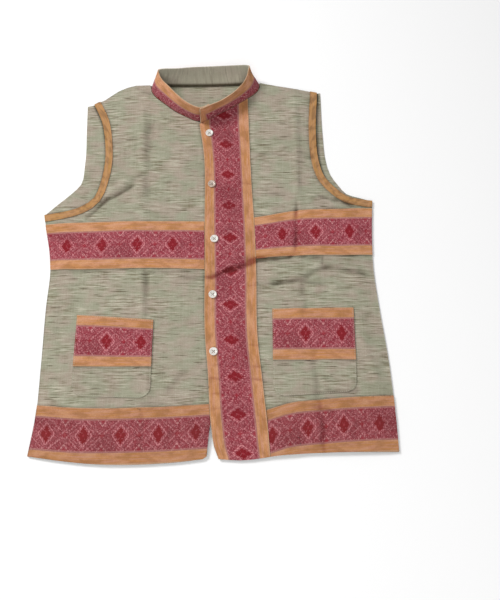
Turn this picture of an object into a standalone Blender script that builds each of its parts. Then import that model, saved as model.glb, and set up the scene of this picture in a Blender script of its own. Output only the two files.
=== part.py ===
"""A sleeveless short coat with a stand collar, buttoned up and laid flat on its back.

Handloom cloth panels carry a woven border strip on the front edge, chest, hem, pockets and collar.
Right and left are the wearer's, so the right front lies at -X. The origin is on the floor under the
middle of the coat, +Y runs from the hem to the collar, and +Z is up. Sizes are in metres.
"""

import math
from collections import namedtuple

import bmesh
import bpy
from mathutils import Vector, geometry, kdtree

CLOTH_WALL = 0.0012
STRIP_WALL = 0.0010
BUTTON_WIDTH = 0.0135
SEAM_GAP = 0.0003
SIDE_GAP = 0.0005

COLLAR_HEIGHT = 0.036
BINDING_WIDTH = 0.0125
BINDING_RUN_ON = 0.012
BINDING_BEYOND = 0.006
PLACKET_RUN_ON = 0.020
PLACKET_BEYOND = 0.010
POCKET_CORNER = 0.018

# How the two fronts lie over the back.
LAY_AT_SEAM = CLOTH_WALL + SEAM_GAP
LAY_LIFT = 0.0026
LAY_RUN = 0.025
HEM_SINK = 0.0015
HEM_RUN = 0.022
HEM_LEVEL = -0.320
OVERLAP_LIFT = CLOTH_WALL + 0.0008
OVERLAP_LEVEL = 0.004
OVERLAP_RUN = 0.026
NECK_CLEAR = CLOTH_WALL + SEAM_GAP + STRIP_WALL + 0.0005

# How finely the sheets are divided.
FRONT_PITCH = 0.020
BACK_PITCH = 0.060
EDGE_STEP = 0.018
ARM_STEP = 0.013
RING_STEPS = 60
STATION_STEPS = 6
RING_ROWS = 3
NECK_STRIDE = 2  # the necklines take every second point of the collar's foot
CORNER_STEPS = 4
LINE_CUTS = 4  # pieces that a line is cut into for each pitch, to find the lattice points near it
LATTICE_CLEAR = 0.5  # how near a line a lattice point may lie, as a share of the pitch
MERGE = 1e-5

Place = namedtuple("Place", "x y")
BandRow = namedtuple("BandRow", "x top bottom")
Fold = namedtuple("Fold", "x0 y0 x1 y1 reach height")
Puff = namedtuple("Puff", "x y reach_x reach_y height")
Pocket = namedtuple("Pocket", "left right top_left top_right bottom_left bottom_right band_bottom")
Station = namedtuple("Station", "base_x base_y base_z top_x top_y top_z")
ButtonRow = namedtuple("ButtonRow", "x y")

# The edges of the panels, each from the hem up or from the armhole to the neck.
SIDE_RIGHT = [
    Place(-0.276, -0.3377),
    Place(-0.270, -0.2867),
    Place(-0.269, -0.1907),
    Place(-0.270, -0.0977),
    Place(-0.269, -0.0317),
    Place(-0.274, 0.0043),
    Place(-0.282, 0.0373),
    Place(-0.288, 0.0673),
]
SIDE_LEFT = [
    Place(0.288, -0.3307),
    Place(0.287, -0.2847),
    Place(0.282, -0.1947),
    Place(0.271, -0.0917),
    Place(0.266, -0.0317),
    Place(0.267, 0.0323),
    Place(0.271, 0.0943),
]
ARM_RIGHT = [
    Place(-0.288, 0.0673),
    Place(-0.258, 0.0713),
    Place(-0.227, 0.0813),
    Place(-0.205, 0.0983),
    Place(-0.196, 0.1273),
    Place(-0.191, 0.1633),
    Place(-0.194, 0.2123),
    Place(-0.202, 0.2503),
    Place(-0.219, 0.2873),
]
ARM_LEFT = [
    Place(0.271, 0.0943),
    Place(0.247, 0.0963),
    Place(0.228, 0.1013),
    Place(0.209, 0.1163),
    Place(0.191, 0.1383),
    Place(0.181, 0.1723),
    Place(0.178, 0.2223),
    Place(0.183, 0.3123),
]
BACK_ARM_RIGHT = [
    Place(-0.288, 0.0673),
    Place(-0.267, 0.0883),
    Place(-0.245, 0.1093),
    Place(-0.231, 0.1263),
    Place(-0.227, 0.1623),
    Place(-0.229, 0.2373),
    Place(-0.231, 0.2843),
]
BACK_ARM_LEFT = [
    Place(0.271, 0.0943),
    Place(0.248, 0.1013),
    Place(0.228, 0.1083),
    Place(0.214, 0.1253),
    Place(0.201, 0.1463),
    Place(0.194, 0.1743),
    Place(0.191, 0.2163),
    Place(0.189, 0.3133),
]
SHOULDER_RIGHT = [
    Place(-0.231, 0.2843),
    Place(-0.219, 0.2873),
    Place(-0.200, 0.2973),
    Place(-0.176, 0.3163),
    Place(-0.146, 0.3283),
    Place(-0.120, 0.3293),
]
SHOULDER_LEFT = [
    Place(0.189, 0.3133),
    Place(0.183, 0.3123),
    Place(0.171, 0.3153),
    Place(0.128, 0.3243),
    Place(0.097, 0.3303),
    Place(0.081, 0.3343),
]
FRONT_ARM_AT = 1  # the row of each shoulder where the front's armhole edge meets it

HEM_RIGHT = [
    Place(-0.276, -0.3377),
    Place(-0.241, -0.3427),
    Place(-0.171, -0.3497),
    Place(-0.101, -0.3497),
    Place(-0.040, -0.3457),
    Place(-0.010, -0.3417),
]
HEM_LEFT = [
    Place(0.014, -0.3417),
    Place(0.046, -0.3437),
    Place(0.113, -0.3357),
    Place(0.196, -0.3317),
    Place(0.288, -0.3307),
]
# The right front's edge shows below the last button and passes under the left front above it.
CENTRE_RIGHT = [
    Place(-0.004, -0.3377),
    Place(0.000, -0.2937),
    Place(0.010, -0.2377),
    Place(0.020, -0.1727),
    Place(0.016, -0.0317),
    Place(0.012, 0.1323),
    Place(0.004, 0.2383),
]
CENTRE_LEFT = [
    Place(0.014, -0.3417),
    Place(0.007, -0.3237),
    Place(0.002, -0.2937),
    Place(-0.005, -0.2027),
    Place(-0.010, -0.1527),
    Place(-0.013, -0.0317),
    Place(-0.015, 0.0503),
    Place(-0.020, 0.1923),
    Place(-0.028, 0.2433),
]
BACK_HEM_RIGHT = [
    Place(-0.276, -0.3377),
    Place(-0.200, -0.3417),
    Place(-0.100, -0.3427),
    Place(-0.018, -0.3397),
]
BACK_HEM_LEFT = [
    Place(0.026, -0.3397),
    Place(0.113, -0.3327),
    Place(0.288, -0.3307),
]
BACK_VENT_TOP = Place(0.002, -0.2777)

PLACKET_INNER = [
    Place(0.094, -0.3577),
    Place(0.090, -0.3047),
    Place(0.081, -0.2187),
    Place(0.074, -0.1527),
    Place(0.072, -0.0317),
    Place(0.069, 0.0483),
    Place(0.064, 0.1323),
    Place(0.060, 0.2323),
    Place(0.057, 0.3223),
]

# Where the strips lie on each front. A hem strip runs past the hem, which cuts it off.
CHEST_RIGHT = [
    BandRow(-0.300, 0.0483, -0.0327),
    BandRow(-0.200, 0.0523, -0.0337),
    BandRow(-0.110, 0.0543, -0.0317),
    BandRow(0.020, 0.0533, -0.0337),
]
CHEST_LEFT = [
    BandRow(0.050, 0.0593, -0.0147),
    BandRow(0.075, 0.0623, -0.0127),
    BandRow(0.147, 0.0753, -0.0097),
    BandRow(0.216, 0.0773, -0.0087),
    BandRow(0.300, 0.0823, -0.0047),
]
HEM_STRIP_RIGHT = [
    BandRow(-0.300, -0.2567, -0.3727),
    BandRow(-0.198, -0.2647, -0.3727),
    BandRow(-0.109, -0.2637, -0.3727),
    BandRow(0.020, -0.2567, -0.3727),
]
HEM_STRIP_LEFT = [
    BandRow(0.050, -0.2757, -0.3727),
    BandRow(0.082, -0.2687, -0.3727),
    BandRow(0.118, -0.2577, -0.3727),
    BandRow(0.187, -0.2497, -0.3727),
    BandRow(0.310, -0.2427, -0.3727),
]
POCKET_RIGHT = Pocket(-0.217, -0.094, -0.1137, -0.1217, -0.2467, -0.2487, -0.1987)
POCKET_LEFT = Pocket(0.098, 0.229, -0.1027, -0.1007, -0.2457, -0.2397, -0.1877)

# The largest creases, from one end to the other, and the broad swells between them.
FOLDS = [
    Fold(-0.123, 0.2423, -0.122, 0.0743, 0.010, 0.0026),
    Fold(-0.110, -0.0397, -0.106, -0.1057, 0.010, 0.0020),
    Fold(-0.104, -0.2577, -0.106, -0.3277, 0.010, 0.0016),
    Fold(-0.196, 0.0843, -0.136, 0.1303, 0.009, 0.0024),
    Fold(-0.070, -0.2437, -0.041, -0.2037, 0.008, 0.0016),
    Fold(0.148, 0.2963, 0.144, 0.0883, 0.010, 0.0022),
    Fold(0.140, -0.1077, 0.134, -0.1777, 0.010, 0.0018),
    Fold(0.130, -0.2627, 0.126, -0.3227, 0.010, 0.0018),
    Fold(0.190, 0.1223, 0.224, 0.0863, 0.008, 0.0016),
    Fold(0.092, -0.0377, 0.256, -0.0237, 0.010, 0.0030),
    Fold(0.120, -0.0697, 0.182, -0.0377, 0.009, 0.0018),
    Fold(0.238, -0.1377, 0.262, -0.2237, 0.010, 0.0018),
    Fold(-0.240, -0.0577, -0.246, -0.1677, 0.011, 0.0018),
]
PUFFS = [
    Puff(-0.150, -0.0727, 0.070, 0.130, 0.0030),
    Puff(-0.130, 0.1773, 0.060, 0.080, 0.0026),
    Puff(-0.156, 0.3003, 0.024, 0.020, 0.0030),
    Puff(-0.170, -0.2977, 0.070, 0.050, 0.0016),
    Puff(0.175, -0.0177, 0.060, 0.090, 0.0034),
    Puff(0.130, 0.2223, 0.050, 0.080, 0.0026),
    Puff(0.190, -0.1977, 0.060, 0.080, 0.0026),
    Puff(0.200, -0.3077, 0.050, 0.030, 0.0016),
    Puff(0.110, -0.3127, 0.022, 0.030, 0.0030),
]

# The collar stands like a short cone, from its right end at the centre, round the back, to its left
# end, which laps over the right one.
COLLAR = [
    Station(-0.0120, 0.2598, 0.0058, -0.0100, 0.2638, 0.0388),
    Station(-0.0310, 0.2538, 0.0056, -0.0280, 0.2573, 0.0386),
    Station(-0.0510, 0.2628, 0.0054, -0.0510, 0.2698, 0.0384),
    Station(-0.0715, 0.2743, 0.0052, -0.0690, 0.2898, 0.0377),
    Station(-0.0930, 0.2918, 0.0048, -0.0820, 0.3058, 0.0373),
    Station(-0.1090, 0.3063, 0.0040, -0.0915, 0.3203, 0.0365),
    Station(-0.1150, 0.3203, 0.0034, -0.0980, 0.3323, 0.0359),
    Station(-0.1060, 0.3288, 0.0031, -0.0980, 0.3388, 0.0368),
    Station(-0.0760, 0.3288, 0.0030, -0.0650, 0.3413, 0.0350),
    Station(-0.0200, 0.3288, 0.0030, -0.0220, 0.3438, 0.0357),
    Station(0.0360, 0.3308, 0.0030, 0.0300, 0.3483, 0.0338),
    Station(0.0640, 0.3333, 0.0031, 0.0575, 0.3478, 0.0353),
    Station(0.0755, 0.3303, 0.0034, 0.0555, 0.3403, 0.0359),
    Station(0.0755, 0.3213, 0.0040, 0.0510, 0.3273, 0.0365),
    Station(0.0690, 0.3108, 0.0050, 0.0445, 0.3118, 0.0370),
    Station(0.0500, 0.2963, 0.0062, 0.0315, 0.2913, 0.0387),
    Station(0.0220, 0.2773, 0.0070, 0.0075, 0.2718, 0.0408),
    Station(-0.0080, 0.2583, 0.0074, -0.0115, 0.2603, 0.0413),
    Station(-0.0270, 0.2478, 0.0074, -0.0260, 0.2528, 0.0413),
]
COLLAR_SIDE_RIGHT = 6  # the row where the shoulder meets the collar
COLLAR_SIDE_LEFT = 12
COLLAR_BOW = 0.0012

BUTTONS = [
    ButtonRow(-0.010, 0.2243),
    ButtonRow(-0.004, 0.1233),
    ButtonRow(0.002, 0.0203),
    ButtonRow(0.001, -0.0787),
    ButtonRow(0.004, -0.1747),
]
BUTTON_STEPS = 20
SEAT_SIDES = 12
HOLE_WIDTH = 0.0018
HOLE_FROM_CENTRE = 0.0021
HOLE_SIDES = 6

# The button's profile from its middle, over the rim and under to the middle again.
RimRow = namedtuple("RimRow", "out up")
BUTTON_RIM = [
    RimRow(0.0, 0.0018),
    RimRow(0.56, 0.0018),
    RimRow(0.72, 0.0027),
    RimRow(0.88, 0.0030),
    RimRow(1.0, 0.0022),
    RimRow(0.97, 0.0011),
    RimRow(0.68, 0.0),
    RimRow(0.0, 0.0),
]

Finish = namedtuple("Finish", "red green blue roughness")
CLOTH_FINISH = Finish(0.39, 0.37, 0.25, 0.9)
STRIP_FINISH = Finish(0.36, 0.06, 0.08, 0.85)
BINDING_FINISH = Finish(0.62, 0.29, 0.11, 0.85)
BUTTON_FINISH = Finish(0.85, 0.84, 0.80, 0.25)


def clear_scene():
    for thing in list(bpy.data.objects):
        bpy.data.objects.remove(thing, do_unlink=True)
    for mesh in list(bpy.data.meshes):
        bpy.data.meshes.remove(mesh)


def collection_named(name):
    collection = bpy.data.collections.new(name)
    bpy.context.scene.collection.children.link(collection)
    return collection


def material_named(name, finish):
    material = bpy.data.materials.new(name)
    material.use_nodes = True
    shader = material.node_tree.nodes["Principled BSDF"]
    shader.inputs["Base Color"].default_value = (finish.red, finish.green, finish.blue, 1.0)
    shader.inputs["Roughness"].default_value = finish.roughness
    return material


def eased(share):
    """0 before 0, 1 after 1, and a smooth rise between."""
    share = min(1.0, max(0.0, share))
    return share * share * (3 - 2 * share)


def curve_through(places, step):
    """Points about a step apart on a smooth curve through the places, in any number of axes."""
    knots = [Vector(place) for place in places]
    lengths = [(after - before).length for before, after in zip(knots, knots[1:])]
    slopes = [(after - before) / length for before, after, length in zip(knots, knots[1:], lengths)]
    tangents = [slopes[0]]
    for before, after, run_before, run_after in zip(slopes, slopes[1:], lengths, lengths[1:]):
        tangents.append((before * run_after + after * run_before) / (run_before + run_after))
    tangents.append(slopes[-1])
    curve = [knots[0]]
    for row, length in enumerate(lengths):
        start, end = knots[row], knots[row + 1]
        reach = length / 3
        pulls = (start, start + tangents[row] * reach, end - tangents[row + 1] * reach, end)
        steps = max(1, round(length / step))
        for count in range(1, steps + 1):
            curve.append(on_bezier(pulls, count / steps))
    return curve


def on_bezier(pulls, share):
    rest = 1 - share
    first, second, third, last = pulls
    return (
        first * rest**3
        + second * (3 * share * rest**2)
        + third * (3 * share**2 * rest)
        + last * share**3
    )


def shifted(curve, distance):
    """A flat curve moved sideways, to its left where the distance is positive."""
    moved = []
    for row, point in enumerate(curve):
        along = curve[min(row + 1, len(curve) - 1)] - curve[max(row - 1, 0)]
        aside = Vector((-along.y, along.x)).normalized()
        moved.append(Vector((point.x, point.y)) + aside * distance)
    return moved


def lengthened(curve, extra):
    """The curve with both ends run on straight."""
    first = curve[0] + (curve[0] - curve[1]).normalized() * extra
    last = curve[-1] + (curve[-1] - curve[-2]).normalized() * extra
    return [first] + curve + [last]


def joined(*curves):
    """One closed loop from curves that meet end to end."""
    loop = []
    for curve in curves:
        for point in curve:
            if not loop or (point - loop[-1]).length > MERGE:
                loop.append(point)
    if (loop[0] - loop[-1]).length < MERGE:
        loop.pop()
    return loop


def inside(loop, point):
    """Whether a point lies in a closed loop, by the edges that a ray from it crosses."""
    found = False
    for start, end in zip(loop, loop[1:] + loop[:1]):
        if (start.y > point.y) != (end.y > point.y):
            crossing = start.x + (point.y - start.y) / (end.y - start.y) * (end.x - start.x)
            if point.x < crossing:
                found = not found
    return found


def across_at(curve, y):
    """The x of a curve that rises in y, at a given y."""
    for start, end in zip(curve, curve[1:]):
        if start.y <= y <= end.y:
            return start.x + (y - start.y) / (end.y - start.y) * (end.x - start.x)
    return curve[0].x if y < curve[0].y else curve[-1].x


def distance_to(curve, point):
    nearest = math.inf
    for start, end in zip(curve, curve[1:]):
        run = end - start
        share = min(1.0, max(0.0, (point - start).dot(run) / run.length_squared))
        nearest = min(nearest, (start + run * share - point).length)
    return nearest


SEAM_CURVES = [
    curve_through(edge, EDGE_STEP)
    for edge in (SIDE_RIGHT, SIDE_LEFT, SHOULDER_RIGHT, SHOULDER_LEFT)
]
CENTRE_RIGHT_CURVE = curve_through(CENTRE_RIGHT, EDGE_STEP)
CENTRE_LEFT_CURVE = curve_through(CENTRE_LEFT, EDGE_STEP)


def fold_height(fold, point):
    """A ridge along a straight crease, which runs out at its ends."""
    start, end = Vector((fold.x0, fold.y0)), Vector((fold.x1, fold.y1))
    run = end - start
    share = (point - start).dot(run) / run.length_squared
    foot = start + run * min(1.0, max(0.0, share))
    return fold.height * math.exp(-(((foot - point).length / fold.reach) ** 2))


def puff_height(puff, point):
    across = (point.x - puff.x) / puff.reach_x
    along = (point.y - puff.y) / puff.reach_y
    return puff.height * math.exp(-(across**2) - along**2)


def lay(point):
    """The height of the fronts' underside over the floor."""
    from_seam = min(distance_to(curve, point) for curve in SEAM_CURVES)
    lifted = eased(from_seam / LAY_RUN)
    height = LAY_LIFT
    height += sum(fold_height(fold, point) for fold in FOLDS)
    height += sum(puff_height(puff, point) for puff in PUFFS)
    height -= HEM_SINK * eased((HEM_LEVEL - point.y) / HEM_RUN)
    return LAY_AT_SEAM + lifted * height


def left_lay(point):
    """The left front lies on the right front's edge, then comes down beside it."""
    beyond = point.x - across_at(CENTRE_RIGHT_CURVE, point.y) - SEAM_GAP
    split = eased((point.y - CENTRE_LEFT[0].y) / (CENTRE_RIGHT[1].y - CENTRE_LEFT[0].y))
    return lay(point) + OVERLAP_LIFT * split * (1 - eased((beyond - OVERLAP_LEVEL) / OVERLAP_RUN))


def lattice(outline, lines, pitch):
    """A staggered lattice of points inside the outline, clear of the lines that it has to keep."""
    kept = []
    for line in lines:
        for start, end in zip(line, line[1:]):
            cuts = max(1, math.ceil((end - start).length * LINE_CUTS / pitch))
            kept += [start.lerp(end, cut / cuts) for cut in range(cuts + 1)]
    tree = kdtree.KDTree(len(kept))
    for index, point in enumerate(kept):
        tree.insert((point.x, point.y, 0.0), index)
    tree.balance()
    low_x, high_x = min(p.x for p in outline), max(p.x for p in outline)
    low_y, high_y = min(p.y for p in outline), max(p.y for p in outline)
    row_height = pitch * math.sqrt(3) / 2
    points = []
    for row in range(math.ceil((high_y - low_y) / row_height)):
        for column in range(math.ceil((high_x - low_x) / pitch)):
            x = low_x + (column + row % 2 / 2) * pitch
            point = Vector((x, low_y + row * row_height))
            from_line = tree.find((point.x, point.y, 0.0))[2]
            if from_line > LATTICE_CLEAR * pitch and inside(outline, point):
                points.append(point)
    return points


def sheet(outline, patches, creases, pitch, height):
    """A triangulated sheet inside an outline, whose edges follow every patch's outline and crease."""
    loops = [outline + outline[:1]] + [patch + patch[:1] for patch in patches]
    lines = loops + creases
    points, edges = [], []
    for line in lines:
        first = len(points)
        points += line
        edges += [(index, index + 1) for index in range(first, first + len(line) - 1)]
    points += lattice(outline, lines, pitch)
    flat, _, faces, _, _, _ = geometry.delaunay_2d_cdt(points, edges, [], 1, MERGE)
    bm = bmesh.new()
    corners = [bm.verts.new((point.x, point.y, height(point))) for point in flat]
    for face in faces:
        middle = sum((flat[index] for index in face), Vector((0.0, 0.0))) / len(face)
        if inside(outline, middle):
            bm.faces.new([corners[index] for index in face])
    bmesh.ops.delete(bm, geom=[v for v in bm.verts if not v.link_faces], context="VERTS")
    bm.normal_update()
    return bm


def wall(name, bm, lift, thickness, patch, material, collection):
    """The part of a sheet inside a patch, moved out from the sheet and given its thickness."""
    piece = bm.copy()
    normals = [vert.normal.copy() for vert in piece.verts]
    for vert, normal in zip(piece.verts, normals):
        vert.co += normal * lift
    if patch:
        outside = [face for face in piece.faces if not inside(patch, face.calc_center_median().xy)]
        bmesh.ops.delete(piece, geom=outside, context="FACES")
    mesh = bpy.data.meshes.new(name)
    piece.to_mesh(mesh)
    piece.free()
    mesh.shade_smooth()
    mesh.materials.append(material)
    solid = bpy.data.objects.new(name, mesh)
    collection.objects.link(solid)
    thicken = solid.modifiers.new("thickness", "SOLIDIFY")
    thicken.thickness = thickness
    thicken.offset = 1.0
    thicken.use_even_offset = False
    return solid


def crease_lines(outline, pitch):
    """The crest of each fold that starts and ends on this panel, so that the sheet can follow it."""
    crests = []
    for fold in FOLDS:
        start, end = Vector((fold.x0, fold.y0)), Vector((fold.x1, fold.y1))
        if inside(outline, start) and inside(outline, end):
            steps = max(1, round((end - start).length / pitch))
            crests.append([start.lerp(end, step / steps) for step in range(steps + 1)])
    return crests


def band_loop(rows, left_edge, right_edge):
    """A strip between its two long edges, cut off where other curves cross it."""
    top = curve_through([Place(row.x, row.top) for row in rows], EDGE_STEP)
    bottom = curve_through([Place(row.x, row.bottom) for row in rows], EDGE_STEP)
    if left_edge:
        top, bottom = trimmed(top, left_edge, 1), trimmed(bottom, left_edge, 1)
    if right_edge:
        top, bottom = trimmed(top, right_edge, -1), trimmed(bottom, right_edge, -1)
    return top, bottom


def trimmed(curve, edge, side):
    """The stretch of a crosswise curve on one side of a lengthwise edge, ending exactly on it."""
    kept = []
    for start, end in zip(curve, curve[1:]):
        for point in (start, end):
            if side * (point.x - across_at(edge, point.y)) > 0 and point not in kept:
                kept.append(point)
        begins = start.x - across_at(edge, start.y)
        finishes = end.x - across_at(edge, end.y)
        if begins * finishes < 0:
            kept.append(start.lerp(end, begins / (begins - finishes)))
    return sorted(kept, key=lambda point: point.x)


def between(edge, low, high):
    """The stretch of a rising edge between two heights, without its ends."""
    return [point for point in edge if low + SIDE_GAP < point.y < high - SIDE_GAP]


def strip_loop(rows, left_edge=None, right_edge=None):
    """The closed outline of a crosswise strip, whose ends follow the edges that cut it off."""
    top, bottom = band_loop(rows, left_edge, right_edge)
    right_end = between(right_edge, bottom[-1].y, top[-1].y) if right_edge else []
    left_end = between(left_edge, bottom[0].y, top[0].y) if left_edge else []
    return joined(bottom, right_end, top[::-1], left_end[::-1])


def pocket_loop(pocket):
    """A patch pocket, from its top left corner round its two curved lower ones."""
    corners = [
        (pocket.left, pocket.bottom_left, 1, math.pi),
        (pocket.right, pocket.bottom_right, -1, 1.5 * math.pi),
    ]
    loop = [Vector((pocket.left, pocket.top_left))]
    for x, y, inward, start in corners:
        centre = Vector((x + inward * POCKET_CORNER, y + POCKET_CORNER))
        for count in range(CORNER_STEPS + 1):
            angle = start + count / CORNER_STEPS * math.pi / 2
            loop.append(centre + Vector((math.cos(angle), math.sin(angle))) * POCKET_CORNER)
    loop.append(Vector((pocket.right, pocket.top_right)))
    return divided(loop)


def pocket_band_loop(pocket):
    return divided(
        [
            Vector((pocket.left, pocket.top_left)),
            Vector((pocket.left, pocket.band_bottom)),
            Vector((pocket.right, pocket.band_bottom)),
            Vector((pocket.right, pocket.top_right)),
        ]
    )


def divided(loop):
    """A closed loop with its long sides cut into steps."""
    points = []
    for start, end in zip(loop, loop[1:] + loop[:1]):
        cuts = max(1, round((end - start).length / EDGE_STEP))
        points += [start.lerp(end, cut / cuts) for cut in range(cuts)]
    return points


def binding_loop(arm):
    """The bias binding's outline: the armhole edge run on at both ends, and a line beside it."""
    edge = lengthened(curve_through(arm, ARM_STEP), BINDING_RUN_ON)
    rightwards = arm[0].x < 0
    inner = shifted(edge, -BINDING_WIDTH if rightwards else BINDING_WIDTH)
    outer = shifted(edge, BINDING_BEYOND if rightwards else -BINDING_BEYOND)
    return joined(inner, outer[::-1])


def neck_edge(first, last):
    """The neckline of a front, a little outside the collar's foot from one of its rows to another."""
    foot = even_curve([Vector((row.base_x, row.base_y)) for row in COLLAR])
    edge = shifted(foot, NECK_CLEAR)
    return edge[first * STATION_STEPS : last * STATION_STEPS + 1 : NECK_STRIDE]


def front_right(materials, collection):
    outline = joined(
        curve_through(HEM_RIGHT, EDGE_STEP),
        CENTRE_RIGHT_CURVE,
        neck_edge(1, COLLAR_SIDE_RIGHT),
        curve_through(SHOULDER_RIGHT[FRONT_ARM_AT:], EDGE_STEP)[::-1],
        curve_through(ARM_RIGHT, ARM_STEP)[::-1],
        curve_through(SIDE_RIGHT, EDGE_STEP)[::-1],
    )
    beside_placket = shifted(CENTRE_LEFT_CURVE, SIDE_GAP)
    chest = strip_loop(CHEST_RIGHT, right_edge=beside_placket)
    hem = strip_loop(HEM_STRIP_RIGHT, right_edge=beside_placket)
    pocket = pocket_loop(POCKET_RIGHT)
    pocket_band = pocket_band_loop(POCKET_RIGHT)
    binding = binding_loop(ARM_RIGHT)
    patches = [chest, hem, pocket, pocket_band, binding]
    bm = sheet(outline, patches, crease_lines(outline, FRONT_PITCH), FRONT_PITCH, lay)
    wall("front_right", bm, 0.0, CLOTH_WALL, None, materials["cloth"], collection)
    dress_front("right", bm, chest, hem, pocket, pocket_band, binding, materials, collection)
    bm.free()


def front_left(materials, collection):
    neck = neck_edge(COLLAR_SIDE_LEFT, len(COLLAR) - 1)
    outline = joined(
        curve_through(HEM_LEFT, EDGE_STEP),
        curve_through(SIDE_LEFT, EDGE_STEP),
        curve_through(ARM_LEFT, ARM_STEP),
        curve_through(SHOULDER_LEFT[FRONT_ARM_AT:], EDGE_STEP),
        neck,
        CENTRE_LEFT_CURVE[::-1],
    )
    inner = curve_through(PLACKET_INNER, EDGE_STEP)
    beyond = shifted(CENTRE_LEFT_CURVE, PLACKET_BEYOND)
    placket = joined(inner, lengthened(beyond, PLACKET_RUN_ON)[::-1])
    beside_placket = shifted(inner, -SIDE_GAP)
    chest = strip_loop(CHEST_LEFT, left_edge=beside_placket)
    hem = strip_loop(HEM_STRIP_LEFT, left_edge=beside_placket)
    pocket = pocket_loop(POCKET_LEFT)
    pocket_band = pocket_band_loop(POCKET_LEFT)
    binding = binding_loop(ARM_LEFT)
    patches = [placket, chest, hem, pocket, pocket_band, binding]
    bm = sheet(outline, patches, crease_lines(outline, FRONT_PITCH), FRONT_PITCH, left_lay)
    wall("front_left", bm, 0.0, CLOTH_WALL, None, materials["cloth"], collection)
    lift = CLOTH_WALL + SEAM_GAP
    wall("placket_band", bm, lift, STRIP_WALL, placket, materials["strip"], collection)
    dress_front("left", bm, chest, hem, pocket, pocket_band, binding, materials, collection)
    bm.free()


def dress_front(side, bm, chest, hem, pocket, pocket_band, binding, materials, collection):
    """The strips, binding and pocket of one front, each made from the front's own sheet."""
    on_cloth = CLOTH_WALL + SEAM_GAP
    on_pocket = on_cloth + STRIP_WALL + SEAM_GAP
    rows = [
        ("chest_band", on_cloth, chest, "strip"),
        ("hem_band", on_cloth, hem, "strip"),
        ("armhole_binding", on_cloth, binding, "binding"),
        ("pocket", on_cloth, pocket, "cloth"),
        ("pocket_band", on_pocket, pocket_band, "strip"),
    ]
    for name, lift, patch, finish in rows:
        wall(f"{name}_{side}", bm, lift, STRIP_WALL, patch, materials[finish], collection)


def back(materials, collection):
    """The back lies flat on the floor, with a short vent open at the middle of its hem."""
    neck = [
        Place(COLLAR[row].base_x, COLLAR[row].base_y - NECK_CLEAR / 2)
        for row in range(COLLAR_SIDE_RIGHT + 1, COLLAR_SIDE_LEFT)
    ]
    outline = joined(
        curve_through(BACK_HEM_RIGHT, BACK_PITCH),
        [Vector(BACK_VENT_TOP)],
        curve_through(BACK_HEM_LEFT, BACK_PITCH),
        curve_through(SIDE_LEFT, EDGE_STEP),
        curve_through(BACK_ARM_LEFT, ARM_STEP),
        curve_through(SHOULDER_LEFT, EDGE_STEP),
        curve_through(neck, EDGE_STEP)[::-1],
        curve_through(SHOULDER_RIGHT, EDGE_STEP)[::-1],
        curve_through(BACK_ARM_RIGHT, ARM_STEP)[::-1],
        curve_through(SIDE_RIGHT, EDGE_STEP)[::-1],
    )
    bm = sheet(outline, [], [], BACK_PITCH, lambda point: 0.0)
    wall("back", bm, 0.0, CLOTH_WALL, None, materials["cloth"], collection)
    bm.free()


def collar_point(foot, rim, share_round, share_up):
    """A point on the collar's inner face, part of the way round and up, bowed a little outwards."""
    place = share_round * (len(foot) - 1)
    before = min(int(place), len(foot) - 2)
    base = foot[before].lerp(foot[before + 1], place - before)
    top = rim[before].lerp(rim[before + 1], place - before)
    up = (top - base).normalized()
    along = (foot[before + 1] - foot[before]).normalized()
    outward = up.cross(along)
    bow = COLLAR_BOW * 4 * share_up * (1 - share_up)
    return base + up * (COLLAR_HEIGHT * share_up) + outward * bow


def collar_wall(name, lift, thickness, material, collection):
    """A grid bent round the neck, with its face inwards and its thickness outwards."""
    foot = even_curve([Vector((row.base_x, row.base_y, row.base_z)) for row in COLLAR])
    rim = even_curve([Vector((row.top_x, row.top_y, row.top_z)) for row in COLLAR])
    bm = bmesh.new()
    bmesh.ops.create_grid(bm, x_segments=RING_STEPS, y_segments=RING_ROWS, size=1.0)
    for vert in bm.verts:
        vert.co = collar_point(foot, rim, (vert.co.x + 1) / 2, (vert.co.y + 1) / 2)
    bm.normal_update()
    normals = [vert.normal.copy() for vert in bm.verts]
    for vert, normal in zip(bm.verts, normals):
        vert.co -= normal * lift
    mesh = bpy.data.meshes.new(name)
    bm.to_mesh(mesh)
    bm.free()
    mesh.shade_smooth()
    mesh.materials.append(material)
    solid = bpy.data.objects.new(name, mesh)
    collection.objects.link(solid)
    thicken = solid.modifiers.new("thickness", "SOLIDIFY")
    thicken.thickness = thickness
    thicken.offset = -1.0
    thicken.use_even_offset = False


def even_curve(knots):
    """The same number of points between each two stations, so that foot and rim stay in step."""
    curve = [knots[0]]
    ends = [2 * knots[0] - knots[1]] + knots + [2 * knots[-1] - knots[-2]]
    for before, start, end, after in zip(ends, ends[1:], ends[2:], ends[3:]):
        pulls = (start, start + (end - before) / 6, end - (after - start) / 6, end)
        shares = [count / STATION_STEPS for count in range(1, STATION_STEPS + 1)]
        curve += [on_bezier(pulls, share) for share in shares]
    return curve


def collar(materials, collection):
    collar_wall("collar", 0.0, CLOTH_WALL, materials["cloth"], collection)
    lift = CLOTH_WALL + SEAM_GAP
    collar_wall("collar_band", lift, STRIP_WALL, materials["strip"], collection)


def button_seat(row):
    """How high a button lies: just clear of the strip's highest point under it."""
    highest = 0.0
    for count in range(SEAT_SIDES):
        angle = count / SEAT_SIDES * 2 * math.pi
        reach = Vector((math.cos(angle), math.sin(angle))) * BUTTON_WIDTH / 2
        highest = max(highest, left_lay(Vector(row) + reach))
    return max(highest, left_lay(Vector(row))) + CLOTH_WALL + SEAM_GAP + STRIP_WALL + SEAM_GAP


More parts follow.
